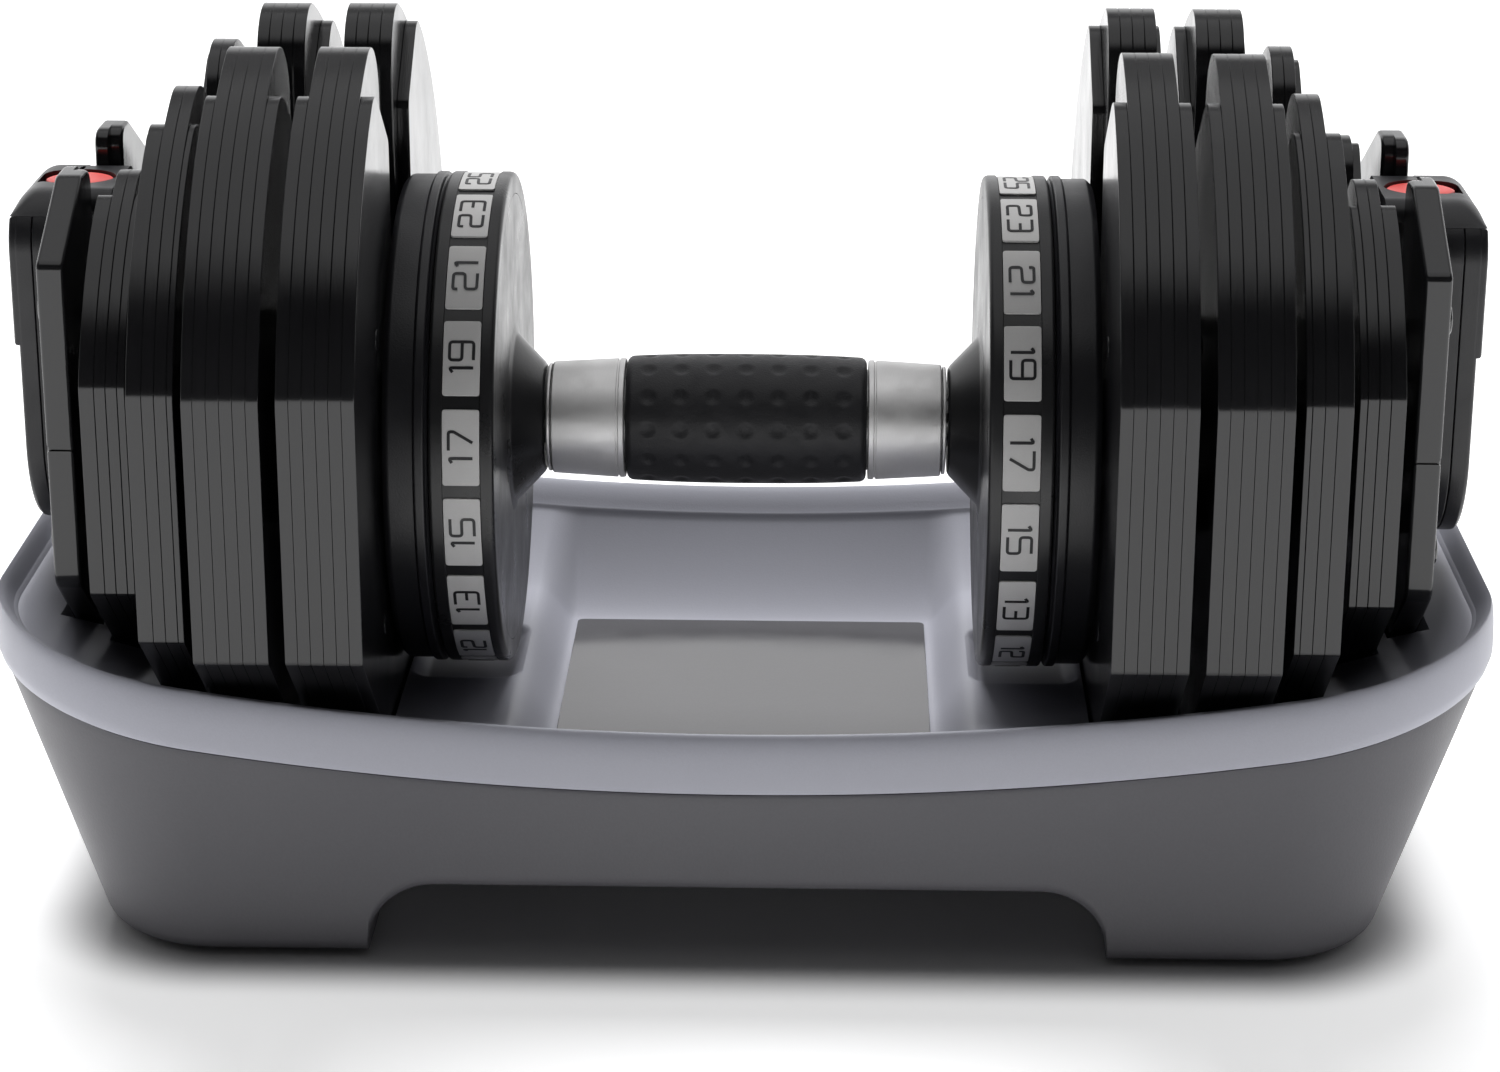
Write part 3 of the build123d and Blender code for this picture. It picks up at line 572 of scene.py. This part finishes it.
for side, sign in SIDES:
    plates = join([curved_plate(i * STEP_ANGLE, BAND_X0, BAND_X1, LABEL_ANGLE, 0.9, 67.5, DIAL_R - 0.02,
                                0.18) for i in range(len(LABELS))])
    piece(f"{side}_dial_numbers", plates, f"{side}_dial", "number_plate", side=sign,
          nodes=[f"{side}_dial_numbers"], smooth=40)
    digits = join([label_mesh(text, i * STEP_ANGLE, sign) for i, text in enumerate(LABELS)])
    piece(f"{side}_dial_digits", digits, f"{side}_dial", "dial_plastic", side=sign,
          material="number_ink", smooth=50)


# ---------------------------------------------------------------- end housings and latches
HOUSE_X0, HOUSE_X1, HOUSE_HALF, HOUSE_TOP, HOUSE_LOW = 183.2, 197.6, 27.0, 62.0, 29.0
NECK_X0, NECK_HALF, CAP_X0 = 179.4, 17.5, 191.2
HOOD_X0, HOOD_TOP, CROWN_R, NECK_R, END_R = 171.2, 67.5, 15.0, 5.2, 7.0
BUTTON_X, BUTTON_HALF, BUTTON_WIDE, BUTTON_TOP = 182.6, 9.5, 8.0, 67.0


def crown_arc(half, corner, low, high, steps=10):
    """Rounded top corner of a housing between two heights."""
    start = degrees(asin((low - HOOD_TOP + corner) / corner))
    end = degrees(asin(min(1.0, (high - HOOD_TOP + corner) / corner)))
    return arc(half - corner, HOOD_TOP - corner, corner, start, end, steps)


def housing_outline(half, low, corner):
    """Round bottom and the lower part of the rounded top corners, cut off flat at the hood."""
    points = arc(0, half - low, half, -90, 0, 16)
    points += crown_arc(half, corner, max(HOOD_TOP - corner, half - low), HOUSE_TOP - 0.1)
    return mirrored(points[1:])


def hood_block(half, corner, x0, x1, steps=16):
    """Hood above the housing between two stations; its top falls away round the outer end."""
    top = crown_arc(half, corner, max(HOUSE_TOP, HOOD_TOP - corner), HOOD_TOP, 12)
    outline = [(half, HOUSE_TOP)] * (top[0][1] > HOUSE_TOP) + top
    outline = mirrored([(0.5 * outline[0][0], HOUSE_TOP)] + outline)
    rings = []
    for k in range(steps + 1):
        x = x0 + (x1 - x0) * sin(pi / 2 * k / steps)
        fall = END_R - sqrt(max(0.0, END_R ** 2 - max(0.0, x - HOUSE_X1 + END_R) ** 2))
        share = max(0.02, (HOOD_TOP - HOUSE_TOP - fall) / (HOOD_TOP - HOUSE_TOP))
        rings.append([(x, y, AXIS_Z + HOUSE_TOP + (z - HOUSE_TOP) * share) for y, z in outline])
    return from_rings(rings)


def lens(x_half, y_half):
    """Leaf-shaped outline pointed along X."""
    radius = (x_half ** 2 + y_half ** 2) / (2 * y_half)
    reach = degrees(asin(min(1.0, x_half / radius)))
    front = arc(BUTTON_X, radius - y_half, radius, -90 - reach, -90 + reach, 20)
    return front + [(x, -y) for x, y in reversed(front[1:-1])]


def stack(outline, levels):
    """Upright block from an (X, Y) outline through levels of (inset, height above the axis)."""
    return from_rings([[(x, y, AXIS_Z + z) for x, y in inset(outline, d)] for d, z in levels])


def box_ring(x0, x1, y0, y1, z0, z1, edge=0.8):
    """Rounded block between two corners, heights above the axis."""
    return prism(rounded([(y0, z0), (y1, z0), (y1, z1), (y0, z1)], edge), x0, x1, edge)


def cut(obj, mesh, side=1, smooth_angle=32, overlapping=False):
    """Take closed prisms out of an object's mesh; overlapping says that its parts run together."""
    tool = bpy.data.objects.new("cutter", bpy.data.meshes.new("cutter"))
    tool.data.from_pydata([(side * x * MM, y * MM, z * MM) for x, y, z in mesh[0]], [], mesh[1])
    work = bmesh.new()
    work.from_mesh(tool.data)
    bmesh.ops.recalc_face_normals(work, faces=work.faces)
    work.to_mesh(tool.data)
    work.free()
    bpy.context.scene.collection.objects.link(tool)
    boolean = obj.modifiers.new("cut", "BOOLEAN")
    boolean.operation, boolean.solver, boolean.object = "DIFFERENCE", "EXACT", tool
    boolean.use_self = overlapping
    obj.modifiers.move(len(obj.modifiers) - 1, 0)
    bpy.context.view_layer.update()
    weighted = obj.modifiers["even_normals"]
    weighted.show_viewport = False
    result = bpy.data.meshes.new_from_object(obj.evaluated_get(bpy.context.evaluated_depsgraph_get()))
    weighted.show_viewport = True
    obj.modifiers.remove(boolean)
    obj.data = result
    bpy.data.objects.remove(tool)
    result.set_sharp_from_angle(angle=radians(smooth_angle))


shell = join([
    prism(housing_outline(NECK_HALF, NECK_HALF, NECK_R), NECK_X0, HOUSE_X0 + 1, 0.6),
    prism(housing_outline(HOUSE_HALF, HOUSE_LOW, CROWN_R), HOUSE_X0, CAP_X0 - 0.1, 1.6, edge_out=0.3)])
pair("end_housing", shell, "end_housing", "black_plastic")
cap_side = mirrored([(HOUSE_HALF - 0.2, 27.0)]
                    + crown_arc(HOUSE_HALF - 0.2, CROWN_R, HOOD_TOP - CROWN_R, HOUSE_TOP - 0.2))
cap = join([
    prism(housing_outline(HOUSE_HALF, HOUSE_LOW, CROWN_R), CAP_X0 + 0.1, 196.3, 0.3, edge_out=1.2),
    prism(cap_side, 195.0, HOUSE_X1, 0.1, edge_out=1.0)])
pair("end_cap", cap, "end_cap", "black_plastic")

hood = join([hood_block(HOUSE_HALF, CROWN_R, HOUSE_X0, HOUSE_X1 - 0.2),
             hood_block(NECK_HALF, NECK_R, HOOD_X0, HOUSE_X0 + 1),
             box_ring(HOOD_X0, 174.6, -NECK_HALF + 0.5, NECK_HALF - 0.5, 35.0, 63.0, 0.6)])
window = stack(lens(BUTTON_HALF + 0.45, BUTTON_WIDE + 0.45), ((0, HOUSE_TOP + 0.8), (0, HOOD_TOP + 2)))
recess = stack(rounded([(187.0, -8.2), (193.6, -5.0), (193.6, 5.0), (187.0, 8.2)], 1.5),
               ((0, HOOD_TOP - 3.2), (0, HOOD_TOP + 2)))
for side, sign in SIDES:
    made = piece(f"{side}_hood", hood, body_of_node(f"{side}_hood"), "black_plastic", side=sign,
                 nodes=[f"{side}_hood"])
    cut(made, window, sign, 35, True)
    cut(made, recess, sign, 35, True)

button = stack(lens(BUTTON_HALF, BUTTON_WIDE), (
    (0, HOUSE_TOP + 0.1), (0, BUTTON_TOP - 0.9), (0.15, BUTTON_TOP - 0.4), (0.5, BUTTON_TOP - 0.1),
    (1.6, BUTTON_TOP + 0.15), (3.5, BUTTON_TOP + 0.3)))
stem = box_ring(186.8, 190.9, -7.6, 7.6, 46.0, HOUSE_TOP + 0.4, 0.4)
pair("lock_latch", join([button, stem]), "lock_latch", "red_plastic")

# ---------------------------------------------------------------- tray
RIM = (197.0, 93.0, 50.0)
CREST_MID, CREST_END, SEAM_DROP = 59.4, 83.0, 10.5
CREST_AT, CREST_RISE = 0.24, 5.0          # highest line of the rim: share of its width, rise
FOOT, TOP, FOOT_Z, TOP_Z = (170.4, 103.0, 33.2), (207.5, 107.5, 63.7), 1.2, 90.0
FLOOR_Z, SPINE = 38.5, 104.0
ARCH_HALF, ARCH_Z, ARCH_R = 97.0, 20.6, 18.0
SHOULDER_Z, RAMP_IN, RAMP_OUT, RAMP_CURVE = 48.5, 52.8, 63.5, 0.8
CLIMB_X, CLIMB = 128.0, 0.44              # outside CLIMB_X the dish rises by CLIMB for each mm
WALL_REACH, WALL_CURVE, WALL_TOP = 40.0, 1.45, 0.9      # dish wall: width, curve, drop from the rim
LOW_Z, SKIRT_IN = 22.4, 3.6               # closed underside of the light shell
PLATE_GAP_X, PLATE_GAP_Y, SCREW_ROOM = 0.7, 0.8, 2.4
POCKET_X, POCKET_HALF_X, POCKET_HALF_Y, POCKET_R, POCKET_DEEP = 78.0, 16.0, 22.0, 7.0, 3.0
CREST_R = (TOP[0] ** 2 + (CREST_END - CREST_MID) ** 2) / (2 * (CREST_END - CREST_MID))


def crest(x):
    """Height of the rim, an arc that rises to the ends."""
    return CREST_MID + CREST_R - sqrt(CREST_R ** 2 - min(abs(x), TOP[0]) ** 2)


def span(a, b, step):
    """Evenly spaced numbers from a up to b, without b."""
    count = max(1, round(abs(b - a) / step))
    return [a + (b - a) * i / count for i in range(count)]


LINES = [0.0] + span(3.0, 50.0, 3.0) + span(50.0, 66.0, 0.9) + span(66.0, 78.0, 3.0) \
    + span(78.0, 88.0, 1.2) + span(88.0, 98.5, 0.5) + span(98.5, 137.0, 2.75) + [137.0]
EDGE_XS = [-x for x in reversed(LINES[1:])] + LINES


def contour(half_x, half_y, radius):
    """Rounded rectangle whose points run the same way whatever its size."""
    cx, cy = half_x - radius, half_y - radius
    points = [(x, -half_y) for x in EDGE_XS]
    points += arc(cx, -cy, radius, -90, 0, 30)
    points += [(half_x, -cy + 2 * cy * k / 26) for k in range(1, 26)]
    points += arc(cx, cy, radius, 0, 90, 30)
    points += [(-x, half_y) for x in EDGE_XS]
    points += arc(-cx, cy, radius, 90, 180, 30)
    points += [(-half_x, cy - 2 * cy * k / 26) for k in range(1, 26)]
    points += arc(-cx, -cy, radius, 180, 270, 30)
    return points


def wall(z):
    """Size of the tray's outer wall at height z."""
    t = (z - FOOT_Z) / (TOP_Z - FOOT_Z)
    return [a + (b - a) * t for a, b in zip(FOOT, TOP)]


wall_contours = {}


def wall_point(index, z, inward=0.0):
    """Point number index of the outer wall at height z, moved inwards."""
    key = (round(z, 1), inward)
    if key not in wall_contours:
        half_x, half_y, radius = wall(key[0])
        wall_contours[key] = contour(half_x - inward, half_y - inward, radius - inward)
    return wall_contours[key][index]


def seam_ring(level, inward=0.0):
    """Ring on the outer wall at a height that level gives for each X."""
    ring = []
    for i, (x, y) in enumerate(contour(*TOP)):
        for again in range(2):
            x, y = wall_point(i, level(x), inward)
        ring.append((x, y, level(x)))
    return ring


def smooth(t):
    """Ease from 0 to 1."""
    t = max(0.0, min(1.0, t))
    return t * t * (3 - 2 * t)


def shrink(x, y, share):
    """Point moved towards the tray's long middle line, to a share of its distance from it."""
    sx = max(-SPINE, min(SPINE, x))
    return sx + (x - sx) * share, y * share


def rim_depth(x, y):
    """Distance inwards from the rim's inner edge."""
    half_x, half_y, radius = RIM
    qx, qy = abs(x) - (half_x - radius), abs(y) - (half_y - radius)
    return radius - (hypot(max(qx, 0), max(qy, 0)) + min(max(qx, qy), 0))


def dish(x, y):
    """Height of the dish: flat panel seat, ramps to the dials, walls that curve up to the rim."""
    ax, ay = abs(x), abs(y)
    ramp = smooth((ax - RAMP_IN) / (RAMP_OUT - RAMP_IN)) ** RAMP_CURVE
    base = FLOOR_Z + (SHOULDER_Z - FLOOR_Z) * ramp + max(0.0, ax - CLIMB_X) * CLIMB
    lift = max(0.0, 1 - rim_depth(x, y) / WALL_REACH) ** WALL_CURVE
    z = base + max(0.0, crest(x) - WALL_TOP - base) * lift
    px, py = abs(ax - POCKET_X) - POCKET_HALF_X + POCKET_R, ay - POCKET_HALF_Y + POCKET_R
    outside = hypot(max(px, 0), max(py, 0)) + min(max(px, py), 0) - POCKET_R
    return z - POCKET_DEEP * smooth(-outside / 5.0)


def tray_top_mesh():
    """Light shell: convex rim, dish, and a solid underside that stays inside the dark base."""
    edge = contour(*RIM)
    lip = ((0.0, 3.4), (0.0, 0.9), (0.15, 0.25), (0.8, 0.0), (2.2, 0.0), (3.2, 0.0))
    rings = [seam_ring(lambda x, up=up: crest(x) - SEAM_DROP + up, inward) for up, inward in lip]
    shoulder = rings.pop()
    climb = [((1 - cos(pi / 2 * k / 9)) * CREST_AT, sin(pi / 2 * k / 9), 1.0) for k in range(10)]
    fall = [(CREST_AT + (0.97 - CREST_AT) * k / 6, 1.0, 1 - (k / 6) ** 1.5) for k in range(1, 7)]
    for w, h, crown in climb + fall:
        ring = []
        for (ox, oy, oz), (ix, iy) in zip(shoulder, edge):
            x, y = ox + (ix - ox) * w, oy + (iy - oy) * w
            ring.append((x, y, oz + (crest(x) + CREST_RISE * crown - oz) * h))
        rings.append(ring)
    for inward, drop in ((0.0, 0.12), (0.5, 0.5), (0.9, 1.1)):
        points = [shrink(x, y, 1 - inward / RIM[1]) for x, y in edge]
        rings.append([(x, y, crest(x) - drop) for x, y in points])
    shares = [1 - v / RIM[1] for v in [1.6, 2.6] + span(4.0, 40.0, 2.0) + span(40.0, 62.0, 3.0)
              + span(62.0, 78.0, 1.0) + span(78.0, 93.0, 3.5)] + [0.0]
    for share in shares:
        points = [shrink(x, y, share) for x, y in edge]
        rings.append([(x, y, dish(x, y)) for x, y in points])
    under = [wall_point(i, LOW_Z, SKIRT_IN) for i in range(len(edge))]
    bottom = [[shrink(x, y, share) + (LOW_Z,) for x, y in under] for share in (0.0, 0.5, 1.0)]
    verts, faces = from_rings(bottom + rings)
    return verts, faces[:-2]


def pocket_cutters():
    """Slots that the plates stand in, as closed prisms."""
    cutters = [(x0 - PLATE_GAP_X, x0 + sum(sheets) + PLATE_GAP_X, flat, chamfer, bottom)
               for x0, sheets, radius, flat, chamfer, bottom, slot, lobe in PLATES.values()]
    cutters.append((E_X0 - PLATE_GAP_X, E_X1 + SCREW_ROOM, E_FLAT, E_LOW, E_BOTTOM))
    parts = []
    for x0, x1, flat, chamfer, bottom in cutters:
        low = flat - (bottom - chamfer) * CHAMFER_RUN + PLATE_GAP_Y
        side = flat + PLATE_GAP_Y
        outline = mirrored([(low, -bottom - PLATE_GAP_Y), (side, -chamfer - PLATE_GAP_Y / 2), (side, 30.0)])
        for sign in (1, -1):
            rings = [[(sign * x, y, AXIS_Z + z) for y, z in outline] for x in (x0, x1)]
            parts.append(from_rings(rings))
    return join(parts)


tray_top = piece("tray_top", tray_top_mesh(), "tray", "tray_light", nodes=["tray_top"], merge=True,
                 smooth=32)
cut(tray_top, pocket_cutters())


def sole_z(x):
    """Height of the tray's underside: feet at the ends, an arch between them."""
    reach = ARCH_HALF - abs(x)
    if reach <= 0:
        return FOOT_Z
    return ARCH_Z - ARCH_R + sqrt(ARCH_R ** 2 - max(0.0, ARCH_R - reach) ** 2)


EDGE_R, BASE_IN = 4.0, 0.7                # rounded lower edge; base wall inside the light skirt


def inner_z(x):
    """Height of the base's inner floor."""
    return max(4.5, sole_z(x) + 1.6)


def base_ring(share, inward):
    """Ring on the base wall, share of the way from the sole to the seam."""
    return seam_ring(lambda x: sole_z(x) + (crest(x) - SEAM_DROP - 0.5 - sole_z(x)) * share, inward)


def tray_base_mesh():
    """Dark base: flared wall with rounded lower edges, and an arch right through under it."""
    lowest = seam_ring(sole_z, EDGE_R + BASE_IN)
    rings = []
    for share in (0.0, 0.25, 0.5, 0.75, 0.9):
        points = [shrink(x, y, share) for x, y, z in lowest]
        rings.append([(x, y, sole_z(x)) for x, y in points])
    rings.append(lowest)
    for a in (22, 45, 68, 90):
        rings.append(seam_ring(lambda x, a=a: sole_z(x) + EDGE_R * (1 - cos(radians(a))),
                               BASE_IN + EDGE_R * (1 - sin(radians(a)))))
    rings += [base_ring(share, BASE_IN) for share in (0.2, 0.35, 0.5, 0.65, 0.8, 0.9, 0.97)]
    rings += [base_ring(share, inward) for share, inward in ((1.0, 1.1), (1.0, 3.0), (0.6, 3.0))]
    inner = seam_ring(inner_z, 3.2)
    rings.append(inner)
    for share in (0.6, 0.0):
        points = [shrink(x, y, share) for x, y, z in inner]
        rings.append([(x, y, inner_z(x)) for x, y in points])
    verts, faces = from_rings(rings)
    return verts, faces[:-2]


piece("tray_base", tray_base_mesh(), "tray", "tray_dark", nodes=["tray_base"], merge=True, smooth=40)

PANEL_HALF, PANEL_R = 51.6, 2.2
panel_outline = rounded([(sx * PANEL_HALF, sy * PANEL_HALF)
                         for sx, sy in ((-1, -1), (1, -1), (1, 1), (-1, 1))], PANEL_R)
panel = from_rings([[(x, y, z) for x, y in inset(panel_outline, d)]
                    for z, d in ((FLOOR_Z - 0.4, 0), (FLOOR_Z + 0.45, 0), (FLOOR_Z + 0.62, 0.1),
                                 (FLOOR_Z + 0.68, 0.35))])
piece("nameplate", panel, "tray", "nameplate_film", nodes=["nameplate"])
feet = join([upright(sx * 135, sy * 76, rounded([(2.0, 2.9), (2.0, 0.4), (7.6, 0.0), (8.9, 0.9),
                                                 (8.9, 2.9)], 0.3))
             for sx in (-1, 1) for sy in (-1, 1)])
piece("rubber_feet", feet, "tray", "feet_rubber", nodes=["rubber_feet"])

# ---------------------------------------------------------------- CAD nodes that stay
CAD_FINISH = {"tray_screws": "bare_steel", "axle": "bare_steel", "handle_core": "bare_steel"}
for side, sign in SIDES:
    CAD_FINISH.update({
        f"{side}_detent_carrier": "black_plastic", f"{side}_detent_spring": "bare_steel",
        f"{side}_selector_tube": "disc_plastic", f"{side}_selector_disc_ab": "disc_plastic",
        f"{side}_selector_disc_c": "disc_plastic", f"{side}_selector_disc_d": "disc_plastic",
        f"{side}_selector_disc_e": "disc_plastic", f"{side}_latch_spring": "bare_steel",
        f"{side}_axle_nut": "bare_steel"})
for name, finish in CAD_FINISH.items():
    node = frame["nodes"][name]
    node.data.materials.clear()
    node.data.materials.append(MAT[finish])
    weld = node.modifiers.new("weld", "WELD")
    weld.merge_threshold = 1e-6
    bevel = node.modifiers.new("edges", "BEVEL")
    bevel.width, bevel.segments, bevel.limit_method, bevel.angle_limit = 0.0002, 2, "ANGLE", radians(50)

# ---------------------------------------------------------------- floor, light and camera
floor = bpy.data.objects.new("floor", bpy.data.meshes.new("floor"))
floor.data.from_pydata([(-9, -9, 0), (9, -9, 0), (9, 9, 0), (-9, 9, 0)], [], [(0, 1, 2, 3)])
bpy.context.scene.collection.objects.link(floor)
floor_with_painted_glow = surface("floor", (0.93, 0.93, 0.935), 0.7, vary=0.01, patch=0.4,
                       grain=0.002, bump=0.02, rough_vary=0.02)



def painted_floor_glow(material, glow=0.62, reach=0.024):
    """Floor with painted light: it glows outside the tray's footprint, fading out to none at the
    footprint's edge, so only contact shadows stay dark.
    """
    tree, shader = nodes_of(material)
    place = add_node(tree, "ShaderNodeSeparateXYZ",
                     {"Vector": add_node(tree, "ShaderNodeTexCoord").outputs["Object"]})
    squares = []
    for axis, straight in (("X", FOOT[0] - FOOT[2]), ("Y", FOOT[1] - FOOT[2])):
        size = add_node(tree, "ShaderNodeMath", {0: place.outputs[axis]}, operation="ABSOLUTE")
        past = add_node(tree, "ShaderNodeMath", {0: size.outputs[0], 1: straight * MM},
                        operation="SUBTRACT")
        kept = add_node(tree, "ShaderNodeMath", {0: past.outputs[0], 1: 0.0}, operation="MAXIMUM")
        squares.append(add_node(tree, "ShaderNodeMath", {0: kept.outputs[0], 1: 2.0},
                                operation="POWER").outputs[0])
    total = add_node(tree, "ShaderNodeMath", {0: squares[0], 1: squares[1]}, operation="ADD")
    away = add_node(tree, "ShaderNodeMath", {0: total.outputs[0], 1: 0.5}, operation="POWER")
    ramp = add_node(tree, "ShaderNodeMapRange", {
        "Value": away.outputs[0], "From Min": FOOT[2] * MM, "From Max": FOOT[2] * MM + reach,
        "To Min": 0.0, "To Max": glow}, interpolation_type="SMOOTHSTEP")
    shader.inputs["Emission Color"].default_value = (1, 1, 1, 1)
    # painted light: the floor's emission rises with distance from the tray's footprint
    tree.links.new(ramp.outputs[0], shader.inputs["Emission Strength"])


# painted light: the pale floor also glows away from the tray
painted_floor_glow(floor_with_painted_glow)
floor.data.materials.append(floor_with_painted_glow)


def studio_light():
    """Soft light, white behind and dim in front; the glow overhead is mainly for reflections."""
    world = bpy.data.worlds.new("studio")
    bpy.context.scene.world = world
    world.use_nodes = True
    tree = world.node_tree
    tree.nodes.clear()
    direction = add_node(tree, "ShaderNodeTexCoord").outputs["Generated"]
    split = add_node(tree, "ShaderNodeSeparateXYZ", {"Vector": direction})

    def ease(value, low, high, to_low, to_high):
        return add_node(tree, "ShaderNodeMapRange", {"Value": value, "From Min": low, "From Max": high,
                                                     "To Min": to_low, "To Max": to_high},
                        interpolation_type="SMOOTHSTEP").outputs[0]

    overhead = ease(split.outputs["Z"], 0.72, 0.9, 0.0, 0.8)
    rear = ease(split.outputs["Y"], -0.1, 0.5, 0.04, 1.1)
    path = add_node(tree, "ShaderNodeLightPath")
    soft = add_node(tree, "ShaderNodeMapRange", {"Value": path.outputs["Is Diffuse Ray"],
                                                 "To Min": 1.0, "To Max": 0.15}).outputs[0]
    high = add_node(tree, "ShaderNodeMath", {0: soft, 1: 0.35}, operation="MULTIPLY").outputs[0]
    lifted = ease(split.outputs["Z"], 0.45, 0.7, 1.0, high)
    rear = add_node(tree, "ShaderNodeMath", {0: rear, 1: lifted}, operation="MULTIPLY").outputs[0]
    overhead = add_node(tree, "ShaderNodeMath", {0: overhead, 1: soft}, operation="MULTIPLY").outputs[0]
    glow = add_node(tree, "ShaderNodeMath", {0: overhead, 1: rear}, operation="MAXIMUM").outputs[0]
    seen = path.outputs["Is Camera Ray"]
    room = add_node(tree, "ShaderNodeBackground", {"Color": (1, 1, 1.01, 1), "Strength": glow})
    backdrop = add_node(tree, "ShaderNodeBackground", {"Color": (1, 1, 1, 1), "Strength": 1.0})
    mix = add_node(tree, "ShaderNodeMixShader", {0: seen, 1: room.outputs[0], 2: backdrop.outputs[0]})
    tree.links.new(mix.outputs[0], add_node(tree, "ShaderNodeOutputWorld").inputs["Surface"])


studio_light()
sun = bpy.data.objects.new("key", bpy.data.lights.new("key", "SUN"))
sun.data.energy, sun.data.angle = 3.5, radians(36)
sun.rotation_euler = (radians(-42), radians(-5), 0)
sun.visible_glossy = False
bpy.context.scene.collection.objects.link(sun)

CAMERA_AZ, CAMERA_EL, CAMERA_ROLL = radians(1.34), radians(18.94), radians(0.15)
CAMERA_AT, CAMERA_AWAY, CAMERA_LENS = Vector((0.90, 0.0, 83.45)), 1039.4, 88.65
ahead = Vector((-sin(CAMERA_AZ) * cos(CAMERA_EL), cos(CAMERA_AZ) * cos(CAMERA_EL), -sin(CAMERA_EL)))
right = Vector((cos(CAMERA_AZ), sin(CAMERA_AZ), 0))
up = right.cross(ahead)
right, up = (cos(CAMERA_ROLL) * right + sin(CAMERA_ROLL) * up,
             cos(CAMERA_ROLL) * up - sin(CAMERA_ROLL) * right)
camera = bpy.data.objects.new("camera", bpy.data.cameras.new("camera"))
camera.data.lens, camera.data.sensor_width, camera.data.sensor_fit = CAMERA_LENS, 36.0, "HORIZONTAL"
camera.data.clip_start, camera.data.clip_end = 0.01, 50.0
turn = Matrix((right, up, -ahead)).transposed().to_4x4()
camera.matrix_world = Matrix.Translation((CAMERA_AT - ahead * CAMERA_AWAY) * MM) @ turn
bpy.context.scene.collection.objects.link(camera)
bpy.context.scene.camera = camera
bpy.context.scene.view_settings.view_transform = "Standard"
